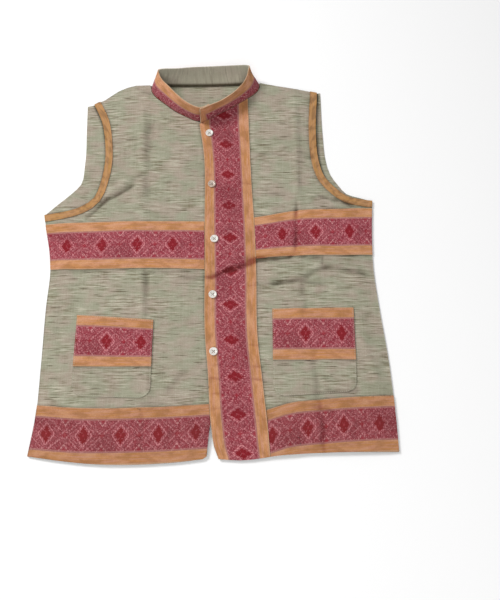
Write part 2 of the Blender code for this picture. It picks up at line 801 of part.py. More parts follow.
def button_holes(name, seat, cutters):
    """One cutter for the four thread holes."""
    bm = bmesh.new()
    for count in range(4):
        angle = math.pi / 4 + count * math.pi / 2
        made = bmesh.ops.create_cone(
            bm,
            cap_ends=True,
            segments=HOLE_SIDES,
            radius1=HOLE_WIDTH / 2,
            radius2=HOLE_WIDTH / 2,
            depth=BUTTON_WIDTH / 2,
        )
        aside = Vector((math.cos(angle), math.sin(angle), 0.0)) * HOLE_FROM_CENTRE
        bmesh.ops.translate(bm, verts=made["verts"], vec=aside)
    mesh = bpy.data.meshes.new(name)
    bm.to_mesh(mesh)
    bm.free()
    cutter = bpy.data.objects.new(name, mesh)
    cutter.location = seat
    cutter.hide_render = True
    cutter.display_type = "WIRE"
    cutters.objects.link(cutter)
    return cutter


def button(number, row, materials, collection, cutters):
    """A turned button with a dished middle and four holes."""
    name = f"button_{number}"
    mesh = bpy.data.meshes.new(name)
    profile = [(rim.out * BUTTON_WIDTH / 2, 0.0, rim.up) for rim in BUTTON_RIM]
    mesh.from_pydata(profile, [(index, index + 1) for index in range(len(profile) - 1)], [])
    mesh.materials.append(materials["button"])
    solid = bpy.data.objects.new(name, mesh)
    solid.location = (row.x, row.y, button_seat(row))
    collection.objects.link(solid)
    turn = solid.modifiers.new("turned", "SCREW")
    turn.steps = BUTTON_STEPS
    turn.render_steps = BUTTON_STEPS
    turn.use_merge_vertices = True
    turn.merge_threshold = MERGE
    drill = solid.modifiers.new("holes", "BOOLEAN")
    drill.operation = "DIFFERENCE"
    drill.object = button_holes(f"{name}_holes", solid.location, cutters)


def build():
    clear_scene()
    collection = collection_named("short_coat")
    cutters = collection_named("cutters")
    materials = {
        "cloth": material_named("handloom_cloth", CLOTH_FINISH),
        "strip": material_named("border_strip", STRIP_FINISH),
        "binding": material_named("bias_binding", BINDING_FINISH),
        "button": material_named("button", BUTTON_FINISH),
    }
    back(materials, collection)
    front_right(materials, collection)
    front_left(materials, collection)
    collar(materials, collection)
    for number, row in enumerate(BUTTONS, start=1):
        button(number, row, materials, collection, cutters)


build()
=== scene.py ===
"""The looks of a sleeveless short coat with a stand collar, laid flat and buttoned up.

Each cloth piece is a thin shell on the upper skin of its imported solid. The two fronts are creased
first, and every strip, pocket and binding is then laid on the creased front. Right and left are the
wearer's. Sizes are in metres, with +X to the wearer's left and +Y from the hem to the collar.
"""

import math
from collections import namedtuple

import bmesh
import bpy
from mathutils import Matrix, Vector, noise
from mathutils.bvhtree import BVHTree
from mathutils.kdtree import KDTree


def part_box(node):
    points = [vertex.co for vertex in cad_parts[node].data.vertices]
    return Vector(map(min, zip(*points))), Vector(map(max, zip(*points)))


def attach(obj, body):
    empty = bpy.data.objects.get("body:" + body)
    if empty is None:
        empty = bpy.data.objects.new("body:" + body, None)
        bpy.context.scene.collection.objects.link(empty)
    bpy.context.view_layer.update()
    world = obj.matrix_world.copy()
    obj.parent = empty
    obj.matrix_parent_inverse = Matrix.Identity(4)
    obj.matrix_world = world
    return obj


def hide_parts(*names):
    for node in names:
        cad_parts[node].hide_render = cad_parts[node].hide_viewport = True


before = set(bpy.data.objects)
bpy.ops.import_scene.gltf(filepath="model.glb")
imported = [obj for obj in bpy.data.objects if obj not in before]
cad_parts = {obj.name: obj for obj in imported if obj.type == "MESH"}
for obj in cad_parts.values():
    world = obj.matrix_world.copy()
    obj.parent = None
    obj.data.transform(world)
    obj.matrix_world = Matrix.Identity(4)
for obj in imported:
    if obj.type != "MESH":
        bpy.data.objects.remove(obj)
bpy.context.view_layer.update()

# The camera stands over the hem and looks down at the coat.
CAMERA_PLACE = (0.0617, -0.4819, 1.1211)
CAMERA_TILT = math.radians(19.5)
CAMERA_LENS = 43.6
SENSOR_WIDTH = 36.0

# Cloth walls, and how far the strips and pockets stand off what they are sewn to.
CLOTH_WALL = 0.0011
STRIP_WALL = 0.0009
ON_CLOTH = 0.0013
ON_POCKET = 0.0026
EDGE_ROUND = 0.00035

# How finely the shells are divided. The back is finer beside the lines that shade it.
FRONT_STEP = 0.0042
STRIP_STEP = 0.0036
BACK_STEP = 0.009
SHADE_STEP = 0.004
SHADE_REACH = 0.010
COLLAR_ROUND = 260
COLLAR_UP = 14
FACET_ROUNDS = 24
REFINE_ROUNDS = 6

# The border strip: its width, one thread of its motifs and one fleck, and half its red field in millimetres.
STRIP_WIDTH = 0.085
MOTIF_THREAD = 0.0011
FLECK = 0.0013
FIELD_HALF = 26.0
BINDING_WIDTH = 0.0125

# The collar's cloth, and how far its inner face is painted paler: painted light.
COLLAR_HEIGHT = 0.036
COLLAR_BOW = 0.0012
COLLAR_BAND_WALL = 0.0012
COLLAR_PAINTED_LIGHT = 0.48

# The collar's ring: how its edges, sides, foot and rim are told apart, and where it turns behind the neck.
COLLAR_EDGE = 0.0014
COLLAR_SIDE = 0.5
COLLAR_FOOT_BELOW = 0.012
COLLAR_RIM_ABOVE = 0.028
COLLAR_RIPPLE = 0.0012
BEHIND_FROM = 0.37
BEHIND_TO = 0.63
BEHIND_RUN = 0.03
RIM_TRIM = 0.025

# The back's neckline, and how far it runs on under the collar.
NECKLINE_ABOVE = 0.300
NECKLINE_BELOW = 0.3325
NECK_ALLOWANCE = 0.004

# The buttons' profile from the middle over the rim, as shares of the radius and the height.
BUTTON_PROFILE = [
    (0.0, 0.58), (0.50, 0.58), (0.60, 0.62), (0.68, 0.78), (0.76, 0.93), (0.84, 1.0), (0.92, 0.96),
    (0.98, 0.82), (1.0, 0.66), (0.99, 0.48), (0.94, 0.32), (0.84, 0.16), (0.68, 0.0), (0.0, 0.0),
]
BUTTON_SIDES = 48
HOLES = 4
HOLE_FROM_CENTRE = 0.0021
HOLE_RADIUS = 0.0009
HOLE_SIDES = 14
SHARP_EDGE = math.radians(40)
CROSS_REACH = 1.15
CROSS_THREAD = (0.0005, 0.0007)
CROSS_LEVEL = 0.60

# The second button from the top is of duller shell than the others.
DULL_BUTTON = "button_2"

# Sewing.
STITCH_PITCH = 0.0034
STITCH_LENGTH = 0.0024
STITCH_RADIUS = 0.00022
STITCH_SPREAD = 1.3
STITCH_INSET = 0.0017
POCKET_MOUTH = 0.0035
BUTTONHOLE_LENGTH = 0.0155
BUTTONHOLE_PITCH = 0.0006
BUTTONHOLE_ASIDE = 0.0009
SLIT_WIDTH = 0.0005

# A crease's reach and wandering, in its own widths, its turns a metre, how uneven it is and how it ends.
CREASE_REACH = 4
CREASE_WANDER = 0.9
CREASE_TURNS = 30
CREASE_DEPTH = 0.85
CREASE_UNEVEN = 0.6
CREASE_RUN_OUT = 0.25

# How near a seam the creases and rumples die away.
SEAM_HOLD = 0.010

# How far the painted shade in a trough spreads, the most it may be, and how strongly it shows.
PAINTED_SHADE_SPREAD = 1.4
MOST_PAINTED_SHADE = 1.2
PAINTED_SHADE_STRENGTH = 0.72

# How wide and uneven the line of painted shade beside a sewn edge is, and how deep on each piece.
EDGE_STEP = 0.003
EDGE_SHADE = 0.0026
EDGE_UNEVEN = 0.7
EDGE_TURNS = 40
ON_FRONT_SHADE = 0.55
ON_BACK_SHADE = 1.5
ON_BAND_SHADE = 0.5
FOOT_SHADE = 2.2

# The floor lies just under the coat, and the world lights it evenly.
FLOOR_HALF = 6.0
FLOOR_SINK = 0.0002
FLOOR_TONE = 0.99
WORLD_LIGHT = 0.355

# Points this close are one, and a face counts as upper skin if it looks up this much.
MERGE = 1e-5
UPPER_SKIN = 0.3
ABOVE = Vector((0.0, 0.0, 0.2))
DOWN = Vector((0.0, 0.0, -1.0))
UP = Vector((0.0, 0.0, 1.0))
CLOTH_LEVEL = 0.005

Crease = namedtuple("Crease", "x0 y0 x1 y1 width height worn")
Rumple = namedtuple("Rumple", "per_x per_y seed height")
Tilt = namedtuple("Tilt", "x y reach_x reach_y slope")
Motifs = namedtuple("Motifs", "centre repeat dull")
Light = namedtuple("Light", "x y z size power")

# Creases in the fronts: both ends, then width, height and how much painted shade darkens the trough. A
# height below zero is a trough.
CREASES = [Crease(*row) for row in (
    (-0.126, 0.33, -0.1225, 0.07, 0.008, 0.0016, 0.0),
    (-0.119, 0.29, -0.115, 0.06, 0.009, -0.0024, 0.42),
    (-0.118, -0.02, -0.112, -0.135, 0.005, 0.0014, 0.0),
    (-0.11, -0.02, -0.1055, -0.13, 0.006, -0.0018, 0.6),
    (-0.101, -0.18, -0.096, -0.265, 0.004, 0.0012, 0.0),
    (-0.097, -0.185, -0.093, -0.255, 0.004, -0.0008, 0.25),
    (-0.22, 0.054, -0.17, 0.108, 0.0038, -0.0024, 1.1),
    (-0.193, 0.085, -0.132, 0.128, 0.0038, -0.003, 1.2),
    (-0.16, 0.112, -0.115, 0.148, 0.005, -0.0012, 0.35),
    (-0.188, 0.105, -0.138, 0.14, 0.006, 0.002, 0.0),
    (-0.285, -0.0385, -0.14, -0.038, 0.002, -0.0008, 0.6),
    (-0.125, -0.0385, -0.01, -0.037, 0.002, -0.0008, 0.6),
    (-0.062, -0.049, 0.012, -0.0455, 0.0035, -0.0018, 0.7),
    (-0.072, -0.25, -0.035, -0.195, 0.006, -0.0014, 0.3),
    (-0.115, -0.256, -0.06, -0.259, 0.0025, -0.0008, 0.5),
    (-0.108, -0.255, -0.1, -0.345, 0.0045, -0.0012, 0.35),
    (-0.138, 0.319, -0.105, 0.303, 0.004, -0.001, 0.4),
    (-0.185, 0.205, -0.133, 0.22, 0.004, -0.001, 0.25),
    (-0.245, -0.05, -0.25, -0.17, 0.007, -0.0014, 0.15),
    (-0.014, -0.05, 0.048, -0.027, 0.0046, -0.0024, 1.2),
    (0.015, -0.04, 0.096, -0.0085, 0.006, -0.0026, 1.4),
    (0.028, -0.015, 0.095, -0.013, 0.004, -0.001, 0.5),
    (0.05, -0.017, 0.118, -0.015, 0.0036, -0.002, 1.7),
    (0.093, -0.016, 0.14, -0.009, 0.0028, -0.0012, 1.2),
    (0.138, -0.013, 0.185, -0.0145, 0.003, -0.0014, 1.2),
    (0.118, -0.015, 0.155, -0.029, 0.0032, -0.0012, 0.5),
    (0.183, -0.007, 0.18, -0.03, 0.0022, -0.001, 0.7),
    (0.142, -0.055, 0.202, -0.024, 0.005, -0.0028, 0.9),
    (0.175, -0.0285, 0.272, -0.043, 0.005, -0.0028, 0.8),
    (0.2, -0.012, 0.266, -0.008, 0.0022, -0.0008, 0.6),
    (0.062, -0.0595, 0.128, -0.0575, 0.003, -0.0014, 0.5),
    (0.092, -0.059, 0.152, -0.052, 0.0036, -0.0024, 1.2),
    (0.122, -0.053, 0.195, -0.0605, 0.0032, -0.0014, 0.6),
    (0.086, -0.045, 0.155, -0.043, 0.006, 0.0018, 0.0),
    (0.144, 0.33, 0.143, 0.06, 0.006, 0.0016, 0.0),
    (0.149, 0.31, 0.147, 0.08, 0.006, -0.0012, 0.25),
    (0.1425, 0.11, 0.138, -0.02, 0.0036, -0.002, 0.85),
    (0.149, -0.045, 0.15, -0.12, 0.006, -0.0014, 0.4),
    (0.162, -0.17, 0.167, -0.265, 0.006, -0.0014, 0.35),
    (0.169, -0.24, 0.176, -0.35, 0.005, -0.0024, 0.8),
    (0.152, -0.261, 0.195, -0.271, 0.004, -0.001, 0.5),
    (0.15, -0.2395, 0.245, -0.2375, 0.0024, -0.0012, 0.9),
    (0.168, 0.1065, 0.217, 0.0895, 0.0032, -0.0018, 0.7),
    (0.198, 0.097, 0.245, 0.082, 0.0038, -0.0024, 1.1),
    (0.076, 0.1045, 0.136, 0.107, 0.002, -0.0008, 0.6),
    (0.07, 0.184, 0.12, 0.186, 0.0022, -0.0006, 0.35),
    (0.148, 0.193, 0.174, 0.17, 0.006, -0.001, 0.4),
    (0.182, 0.0785, 0.238, 0.078, 0.002, -0.0006, 0.6),
    (0.236, -0.135, 0.264, -0.235, 0.007, 0.0014, 0.0),
    (0.233, -0.175, 0.228, -0.25, 0.003, -0.0008, 0.3),
    (-0.008, -0.196, 0.02, -0.198, 0.002, -0.0006, 0.5),
    (-0.006, -0.217, 0.022, -0.22, 0.0024, -0.0008, 0.6),
    (-0.004, -0.242, 0.026, -0.244, 0.0022, -0.0006, 0.5),
    (-0.004, -0.266, 0.026, -0.264, 0.002, -0.0006, 0.4),
    (0.056, -0.162, 0.085, -0.165, 0.0022, -0.0008, 0.5),
    (0.06, -0.199, 0.088, -0.201, 0.0024, -0.0008, 0.6),
    (0.062, -0.218, 0.09, -0.223, 0.0024, -0.0008, 0.5),
    (0.064, -0.285, 0.096, -0.283, 0.0024, -0.0008, 0.5),
    (0.054, -0.062, 0.08, -0.06, 0.002, -0.0008, 0.6),
    (-0.024, 0.142, 0.002, 0.14, 0.002, -0.0006, 0.4),
    (0.04, 0.128, 0.07, 0.125, 0.002, -0.0006, 0.45),
    (-0.024, 0.203, 0.006, 0.201, 0.0022, -0.0006, 0.4),
)]

# The small unevenness of worn cloth between its creases, broad and then fine.
RUMPLES = [
    Rumple(20, 24, 0.3, 0.0015),
    Rumple(55, 95, 5.1, 0.0005),
]

# Where the weft leaves the level, as a slope that fades away from a place.
TILTS = [
    Tilt(-0.165, 0.2000, 0.035, 0.080, 0.10),
]

# Each panel is cut from its own place in the cloth.
CUT_FROM = {
    "front_right": (0.0, 0.0),
    "front_left": (0.9, 0.37),
    "pocket": (1.7, 0.61),
    "back": (3.1, 1.3),
}

# Where the woven motifs fall along each strip, and how far the strip is painted darker: painted shade,
# deepest on the hem strips where the light falls off.
MOTIFS = {
    "placket_band": Motifs(-0.0365, 0.0596, 0.05),
    "chest_band_right": Motifs(-0.1272, 0.0591, 0.03),
    "chest_band_left": Motifs(0.1718, 0.0567, 0.03),
    "hem_band_right": Motifs(-0.1360, 0.0572, 0.20),
    "hem_band_left": Motifs(0.1500, 0.0552, 0.20),
    "pocket_band_right": Motifs(-0.1670, 0.0545, 0.06),
    "pocket_band_left": Motifs(0.1500, 0.0576, 0.08),
    "collar_band": Motifs(0.0, 0.0597, 0.0),
}

LIGHTS = {
    "window": Light(-1.6, 1.1, 2.0, 1.0, 50.0),
    "room": Light(0.0, -1.3, 1.9, 2.0, 20.0),
}


def srgb(red, green, blue):
    """A colour seen as 0 to 255 on a screen, as linear light."""
    linear = []
    for value in (red, green, blue):
        share = value / 255
        linear.append(share / 12.92 if share <= 0.04045 else ((share + 0.055) / 1.055) ** 2.4)
    return (*linear, 1.0)


def eased(share):
    """0 before 0, 1 after 1, and a smooth rise between."""
    share = min(1.0, max(0.0, share))
    return share * share * (3 - 2 * share)


# Shader nodes

class Wiring:
    """Puts nodes into one tree and joins them up."""

    def __init__(self, tree):
        self.tree = tree

    def node(self, kind, **settings):
        made = self.tree.nodes.new(kind)
        for name, value in settings.items():
            setattr(made, name, value)
        return made

    def feed(self, socket, value):
        if isinstance(value, bpy.types.NodeSocket):
            self.tree.links.new(value, socket)
        else:
            socket.default_value = value

    def maths(self, operation, *values):
        made = self.node("ShaderNodeMath", operation=operation)
        for socket, value in zip(made.inputs, values):
            self.feed(socket, value)
        return made.outputs[0]

    def total(self, *values):
        result = values[0]
        for value in values[1:]:
            result = self.maths("ADD", result, value)
        return result

    def ramp(self, value, low, high):
        """0 where the value is at low, 1 where it is at high, and smooth between."""
        made = self.node("ShaderNodeMapRange", interpolation_type="SMOOTHSTEP")
        for socket, fed in zip(made.inputs, (value, low, high, 0.0, 1.0)):
            self.feed(socket, fed)
        return made.outputs[0]

    def product(self, *masks):
        result = masks[0]
        for mask in masks[1:]:
            result = self.maths("MULTIPLY", result, mask)
        return result

    def mixed(self, share, low, high, blend="MIX"):
        made = self.node("ShaderNodeMix", data_type="RGBA", blend_type=blend)
        for socket, value in zip((made.inputs[0], made.inputs[6], made.inputs[7]), (share, low, high)):
            self.feed(socket, value)
        return made.outputs[2]

    def painted(self, colour, mask, strength, over):
        """A colour with another laid over it, as far as the mask and its strength say."""
        return self.mixed(self.maths("MULTIPLY", mask, strength), colour, over)

    def split(self, vector):
        made = self.node("ShaderNodeSeparateXYZ")
        self.feed(made.inputs[0], vector)
        return made.outputs[0], made.outputs[1]

    def vector(self, x, y, z=0.0):
        made = self.node("ShaderNodeCombineXYZ")
        for socket, value in zip(made.inputs, (x, y, z)):
            self.feed(socket, value)
        return made.outputs[0]

    def streaks(self, along, across, per_along, per_across, seed, detail=2.0):
        """Noise drawn out along one direction: so many turns a metre along and across."""
        x = self.maths("MULTIPLY", along, per_along)
        y = self.maths("MULTIPLY", across, per_across)
        made = self.node("ShaderNodeTexNoise", noise_dimensions="3D")
        self.feed(made.inputs["Vector"], self.vector(x, y, seed))
        made.inputs["Scale"].default_value = 1.0
        made.inputs["Detail"].default_value = detail
        return made.outputs[0]

    def cells(self, along, across, size_along, size_across, seed):
        """One chance value for each thread crossing."""
        x = self.maths("FLOOR", self.maths("DIVIDE", along, size_along))
        y = self.maths("FLOOR", self.maths("DIVIDE", across, size_across))
        made = self.node("ShaderNodeTexWhiteNoise", noise_dimensions="3D")
        self.feed(made.inputs["Vector"], self.vector(x, y, seed))
        return made.outputs["Value"]


def effect(name, takes, gives):
    """A node group with its named inputs and outputs, and the wiring to fill it."""
    tree = bpy.data.node_groups.new(name, "ShaderNodeTree")
    for label, kind, value in takes:
        socket = tree.interface.new_socket(name=label, in_out="INPUT", socket_type=kind)
        if value is not None:
            socket.default_value = value
    for label, kind in gives:
        tree.interface.new_socket(name=label, in_out="OUTPUT", socket_type=kind)
    wiring = Wiring(tree)
    return tree, wiring, wiring.node("NodeGroupInput").outputs, wiring.node("NodeGroupOutput").inputs


def thread_effect():
    """Plain weave: warp and weft threads that pass over and under each other."""
    tree, wiring, taken, given = effect(
        "woven_threads",
        [("Vector", "NodeSocketVector", None), ("Pitch", "NodeSocketFloat", 0.0009)],
        [("Height", "NodeSocketFloat")],
    )
    along, across = wiring.split(taken["Vector"])
    turn_x = wiring.maths("DIVIDE", wiring.maths("MULTIPLY", along, math.pi), taken["Pitch"])
    turn_y = wiring.maths("DIVIDE", wiring.maths("MULTIPLY", across, math.pi), taken["Pitch"])
    wave_x, wave_y = wiring.maths("SINE", turn_x), wiring.maths("SINE", turn_y)
    crossing = wiring.maths("MULTIPLY", wave_x, wave_y)
    uneven = wiring.streaks(along, across, 60.0, 900.0, 4.0)
    height = wiring.total(wiring.maths("MULTIPLY", crossing, 0.35), uneven)
    wiring.feed(given["Height"], height)
    return tree


def slub_effect():
    """Handloom cloth: a sage ground with darker and paler weft threads that swell and run out."""
    tree, wiring, taken, given = effect(
        "slub_cloth",
        [("Vector", "NodeSocketVector", None), ("Pale", "NodeSocketFloat", 0.0)],
        [("Color", "NodeSocketColor"), ("Height", "NodeSocketFloat")],
    )
    along, across = wiring.split(taken["Vector"])
    patch = wiring.streaks(along, across, 26.0, 34.0, 1.0)
    colour = wiring.mixed(wiring.ramp(patch, 0.38, 0.62), srgb(158, 158, 136), srgb(170, 156, 141))
    broad = wiring.streaks(along, across, 9.0, 15.0, 9.0)
    colour = wiring.painted(colour, wiring.ramp(broad, 0.52, 0.30), 0.22, srgb(120, 112, 92))
    uneven = wiring.streaks(along, across, 14.0, 26.0, 13.0)
    uneven = wiring.maths("MULTIPLY_ADD", wiring.ramp(uneven, 0.36, 0.64), 0.75, 0.25)
    rows = wiring.streaks(along, across, 36.0, 430.0, 2.0, detail=3.0)
    pale = wiring.ramp(rows, 0.50, 0.66)
    colour = wiring.mixed(wiring.product(pale, uneven), colour, srgb(192, 186, 166))
    dull = wiring.ramp(rows, 0.50, 0.34)
    colour = wiring.mixed(wiring.product(dull, uneven), colour, srgb(126, 118, 94))
    slub = wiring.streaks(along, across, 30.0, 390.0, 3.0, detail=1.0)
    slub = wiring.ramp(slub, 0.63, 0.72)
    colour = wiring.painted(colour, slub, 0.85, srgb(96, 86, 62))
    warp = wiring.ramp(wiring.streaks(along, across, 520.0, 14.0, 5.0), 0.40, 0.66)
    colour = wiring.painted(colour, warp, 0.13, srgb(196, 191, 174))
    grain = wiring.cells(along, across, 0.0016, 0.0011, 6.0)
    colour = wiring.painted(colour, grain, 0.20, srgb(104, 98, 78))
    # Painted light: the whole cloth made paler as far as the material asks, as on the collar's inner face.
    colour = wiring.mixed(taken["Pale"], colour, srgb(214, 206, 188))
    wiring.feed(given["Color"], colour)
    height = wiring.total(rows, wiring.maths("MULTIPLY", slub, 0.8))
    wiring.feed(given["Height"], height)
    return tree


def orange_edges(wiring, along, across, side, chance):
    """The border's orange edges, streaked along their length and paler at both their sides."""
    ramp, painted = wiring.ramp, wiring.painted
    streak = wiring.streaks(along, across, 26.0, 520.0, 7.0)
    blotch = wiring.streaks(along, across, 40.0, 90.0, 8.0)
    orange = wiring.mixed(ramp(streak, 0.36, 0.64), srgb(200, 140, 84), srgb(208, 150, 120))
    orange = painted(orange, ramp(blotch, 0.45, 0.65), 0.75, srgb(172, 120, 74))
    orange = painted(orange, ramp(blotch, 0.48, 0.34), 0.45, srgb(222, 168, 132))
    orange = painted(orange, ramp(side, 40.8, 42.2), 0.6, srgb(214, 182, 150))
    orange = painted(orange, ramp(side, 27.2, 26.2), 0.6, srgb(206, 160, 128))
    return painted(orange, chance, 0.22, srgb(146, 94, 58)), streak


def border_effect():
    """The woven border: orange edges round a red field of flecks, lozenges and small diamonds."""
    tree, wiring, taken, given = effect(
        "woven_border",
        [
            ("Along", "NodeSocketFloat", 0.0),
            ("Across", "NodeSocketFloat", 0.0),
            ("Repeat", "NodeSocketFloat", 0.0597),
            ("Dull", "NodeSocketFloat", 0.0),
        ],
        [("Color", "NodeSocketColor"), ("Height", "NodeSocketFloat")],
    )
    maths, ramp, product, painted = wiring.maths, wiring.ramp, wiring.product, wiring.painted
    along, across = taken["Along"], taken["Across"]

    # Steps of one thread, in millimetres from the nearest motif and from the strip's middle.
    half = maths("MULTIPLY", taken["Repeat"], 500.0)
    threads_along = maths("FLOOR", maths("DIVIDE", along, MOTIF_THREAD))
    along_step = maths("MULTIPLY", threads_along, MOTIF_THREAD * 1000)
    out = maths("PINGPONG", along_step, half)
    middle = maths("MULTIPLY", maths("SUBTRACT", across, STRIP_WIDTH / 2), 1000.0)
    side = maths("ABSOLUTE", middle)
    up = maths("FLOOR", side)
    to_cross = maths("SUBTRACT", half, out)
    to_edge = maths("SUBTRACT", FIELD_HALF, up)

    chance = wiring.cells(along, across, FLECK, FLECK, 1.0)
    patch = wiring.streaks(along, across, 150.0, 150.0, 2.0)
    colour = wiring.mixed(ramp(patch, 0.35, 0.65), srgb(150, 56, 68), srgb(160, 82, 90))
    colour = painted(colour, ramp(chance, 0.82, 0.87), 0.50, srgb(218, 146, 150))
    colour = painted(colour, ramp(chance, 0.30, 0.24), 0.55, srgb(108, 24, 38))

    # Lozenges of broken pale threads round each motif.
    lozenge = wiring.total(maths("DIVIDE", out, half), maths("DIVIDE", up, FIELD_HALF))
    rings = maths("PINGPONG", maths("MULTIPLY", lozenge, 4.0), 0.5)
    broken = ramp(wiring.cells(along, across, 0.0022, 0.0018, 3.0), 0.40, 0.46)
    colour = painted(colour, product(ramp(rings, 0.14, 0.08), broken), 0.16, srgb(214, 142, 148))
    main = ramp(maths("ABSOLUTE", maths("SUBTRACT", lozenge, 1.0)), 0.050, 0.035)
    dotted = ramp(maths("PINGPONG", out, 1.65), 0.7, 0.9)
    colour = painted(colour, product(main, dotted, ramp(chance, 0.15, 0.35)), 0.52, srgb(224, 156, 158))

    # A small diamond where the lozenges meet, and a triangle at each side of the field.
    crossing = wiring.total(to_cross, up)
    colour = painted(colour, ramp(crossing, 3.8, 2.6), 0.75, srgb(150, 22, 42))
    triangle = wiring.total(maths("DIVIDE", to_cross, 6.5), maths("DIVIDE", to_edge, 8.5))
    colour = painted(colour, ramp(triangle, 1.05, 0.85), 0.7, srgb(156, 34, 52))
    beside_triangle = ramp(maths("ABSOLUTE", maths("SUBTRACT", triangle, 1.4)), 0.16, 0.08)
    colour = painted(colour, product(beside_triangle, dotted), 0.75, srgb(226, 166, 164))

    # The motif: four small diamonds round a paler middle, in a ring of dots.
    beside = wiring.total(maths("MULTIPLY", maths("ABSOLUTE", maths("SUBTRACT", out, 3.6)), 1.05),
                          maths("MULTIPLY", up, 0.78))
    above = wiring.total(maths("MULTIPLY", out, 1.05),
                         maths("MULTIPLY", maths("ABSOLUTE", maths("SUBTRACT", up, 6.4)), 0.78))
    lobes = maths("MINIMUM", beside, above)
    round_motif = wiring.total(maths("MULTIPLY", out, 1.35), up)
    halo = ramp(round_motif, 20.0, 13.0)
    colour = painted(colour, product(halo, ramp(chance, 0.35, 0.55)), 0.30, srgb(188, 96, 106))
    ring = ramp(maths("ABSOLUTE", maths("SUBTRACT", round_motif, 17.0)), 1.6, 0.9)
    colour = painted(colour, product(ring, dotted), 0.80, srgb(224, 148, 152))
    frayed = maths("MULTIPLY", maths("SUBTRACT", chance, 0.5), 2.8)
    inside = ramp(maths("ADD", lobes, frayed), 5.6, 4.4)
    colour = painted(colour, inside, 0.94, srgb(132, 8, 26))
    colour = painted(colour, ramp(round_motif, 2.4, 1.2), 0.4, srgb(186, 70, 82))
    broad = wiring.streaks(along, across, 18.0, 18.0, 14.0)
    colour = painted(colour, ramp(broad, 0.50, 0.30), 0.30, srgb(96, 24, 34))

    # The field's margins, and the orange edges beyond them.
    colour = painted(colour, ramp(side, 22.4, 24.2), 0.72, srgb(180, 128, 120))
    colour = painted(colour, product(ramp(side, 25.0, 25.3), broken), 0.5, srgb(140, 76, 70))
    orange, streak = orange_edges(wiring, along, across, side, chance)
    colour = wiring.mixed(ramp(side, FIELD_HALF - 0.2, FIELD_HALF + 0.1), colour, orange)
    # Painted shade: the whole strip darkened as far as its Dull value says.
    colour = wiring.mixed(taken["Dull"], colour, srgb(92, 56, 40))
    wiring.feed(given["Color"], colour)

    relief = wiring.total(chance, maths("MULTIPLY", inside, 0.8), streak)
    wiring.feed(given["Height"], relief)
    return tree


def new_material(name, roughness, sheen):
    """A material whose own shader holds what is the same all over."""
    material = bpy.data.materials.new(name)
    material.use_nodes = True
    shader = material.node_tree.nodes["Principled BSDF"]
    shader.inputs["Roughness"].default_value = roughness
    shader.inputs["Sheen Weight"].default_value = sheen
    shader.inputs["Sheen Roughness"].default_value = 0.5
    shader.inputs["Specular IOR Level"].default_value = 0.25
    return material, Wiring(material.node_tree), shader


def placed(wiring, tree, **values):
    """An effect set into a material, with its own values."""
    made = wiring.node("ShaderNodeGroup")
    made.node_tree = tree
    for label, value in values.items():
        wiring.feed(made.inputs[label], value)
    return made.outputs


def worn(wiring, colour, tint):
    """The colour darkened by painted shade where the piece's own map says so. Its pattern stays."""
    made = wiring.node("ShaderNodeAttribute", attribute_name="worn")
    share = wiring.maths("MULTIPLY", made.outputs["Fac"], PAINTED_SHADE_STRENGTH)
    return wiring.mixed(share, colour, tint, "MULTIPLY")


def bumped(wiring, shader, heights, depths):
    """Bumps one over the other, each with its own real depth."""
    normal = None
    for height, depth in zip(heights, depths):
        bump = wiring.node("ShaderNodeBump")
        bump.inputs["Strength"].default_value = 1.0
        bump.inputs["Distance"].default_value = depth
        wiring.feed(bump.inputs["Height"], height)
        if normal is not None:
            wiring.feed(bump.inputs["Normal"], normal)
        normal = bump.outputs[0]
    wiring.feed(shader.inputs["Normal"], normal)


def surface(wiring):
    """The piece's own coordinates over its cloth, in metres."""
    return wiring.node("ShaderNodeUVMap", uv_map="weave").outputs[0]


def cloth_material(name, slub, threads, pale):
    material, wiring, shader = new_material(name, 0.92, 0.15)
    weave = surface(wiring)
    cloth = placed(wiring, slub, Vector=weave, Pale=pale)
    fine = placed(wiring, threads, Vector=weave, Pitch=0.0009)
    wiring.feed(shader.inputs["Base Color"], worn(wiring, cloth["Color"], srgb(130, 122, 110)))
    bumped(wiring, shader, (fine["Height"], cloth["Height"]), (0.00018, 0.00030))
    return material


def border_material(name, border, threads, motifs):
    material, wiring, shader = new_material(name, 0.88, 0.12)
    weave = surface(wiring)
    along, across = wiring.split(weave)
    from_motif = wiring.maths("SUBTRACT", along, motifs.centre)
    strip = placed(wiring, border, Along=from_motif, Across=across, Repeat=motifs.repeat, Dull=motifs.dull)
    fine = placed(wiring, threads, Vector=weave, Pitch=0.0010)
    wiring.feed(shader.inputs["Base Color"], worn(wiring, strip["Color"], srgb(166, 108, 106)))
    bumped(wiring, shader, (fine["Height"], strip["Height"]), (0.00018, 0.00022))
    return material


def binding_material(threads):
    material, wiring, shader = new_material("bias_binding", 0.88, 0.12)
    weave = surface(wiring)
    along, across = wiring.split(weave)
    streak = wiring.streaks(along, across, 26.0, 620.0, 11.0)
    blotch = wiring.streaks(along, across, 70.0, 120.0, 12.0)
    colour = wiring.mixed(wiring.ramp(streak, 0.36, 0.64), srgb(180, 134, 78), srgb(184, 138, 98))
    colour = wiring.painted(colour, wiring.ramp(blotch, 0.42, 0.66), 0.8, srgb(140, 104, 68))
    fine = placed(wiring, threads, Vector=weave, Pitch=0.0009)
    wiring.feed(shader.inputs["Base Color"], worn(wiring, colour, srgb(140, 130, 122)))
    bumped(wiring, shader, (fine["Height"], streak), (0.00018, 0.00022))
    return material


def pearl_material(name, deep, pale):
    material, wiring, shader = new_material(name, 0.22, 0.0)
    shader.inputs["Coat Weight"].default_value = 0.4
    shader.inputs["Specular IOR Level"].default_value = 0.6
    place = wiring.node("ShaderNodeTexCoord").outputs["Object"]
    cloud = wiring.node("ShaderNodeTexNoise")
    wiring.feed(cloud.inputs["Vector"], place)
    cloud.inputs["Scale"].default_value = 260.0
    colour = wiring.mixed(wiring.ramp(cloud.outputs[0], 0.35, 0.65), deep, pale)
    wiring.feed(shader.inputs["Base Color"], colour)
    return material


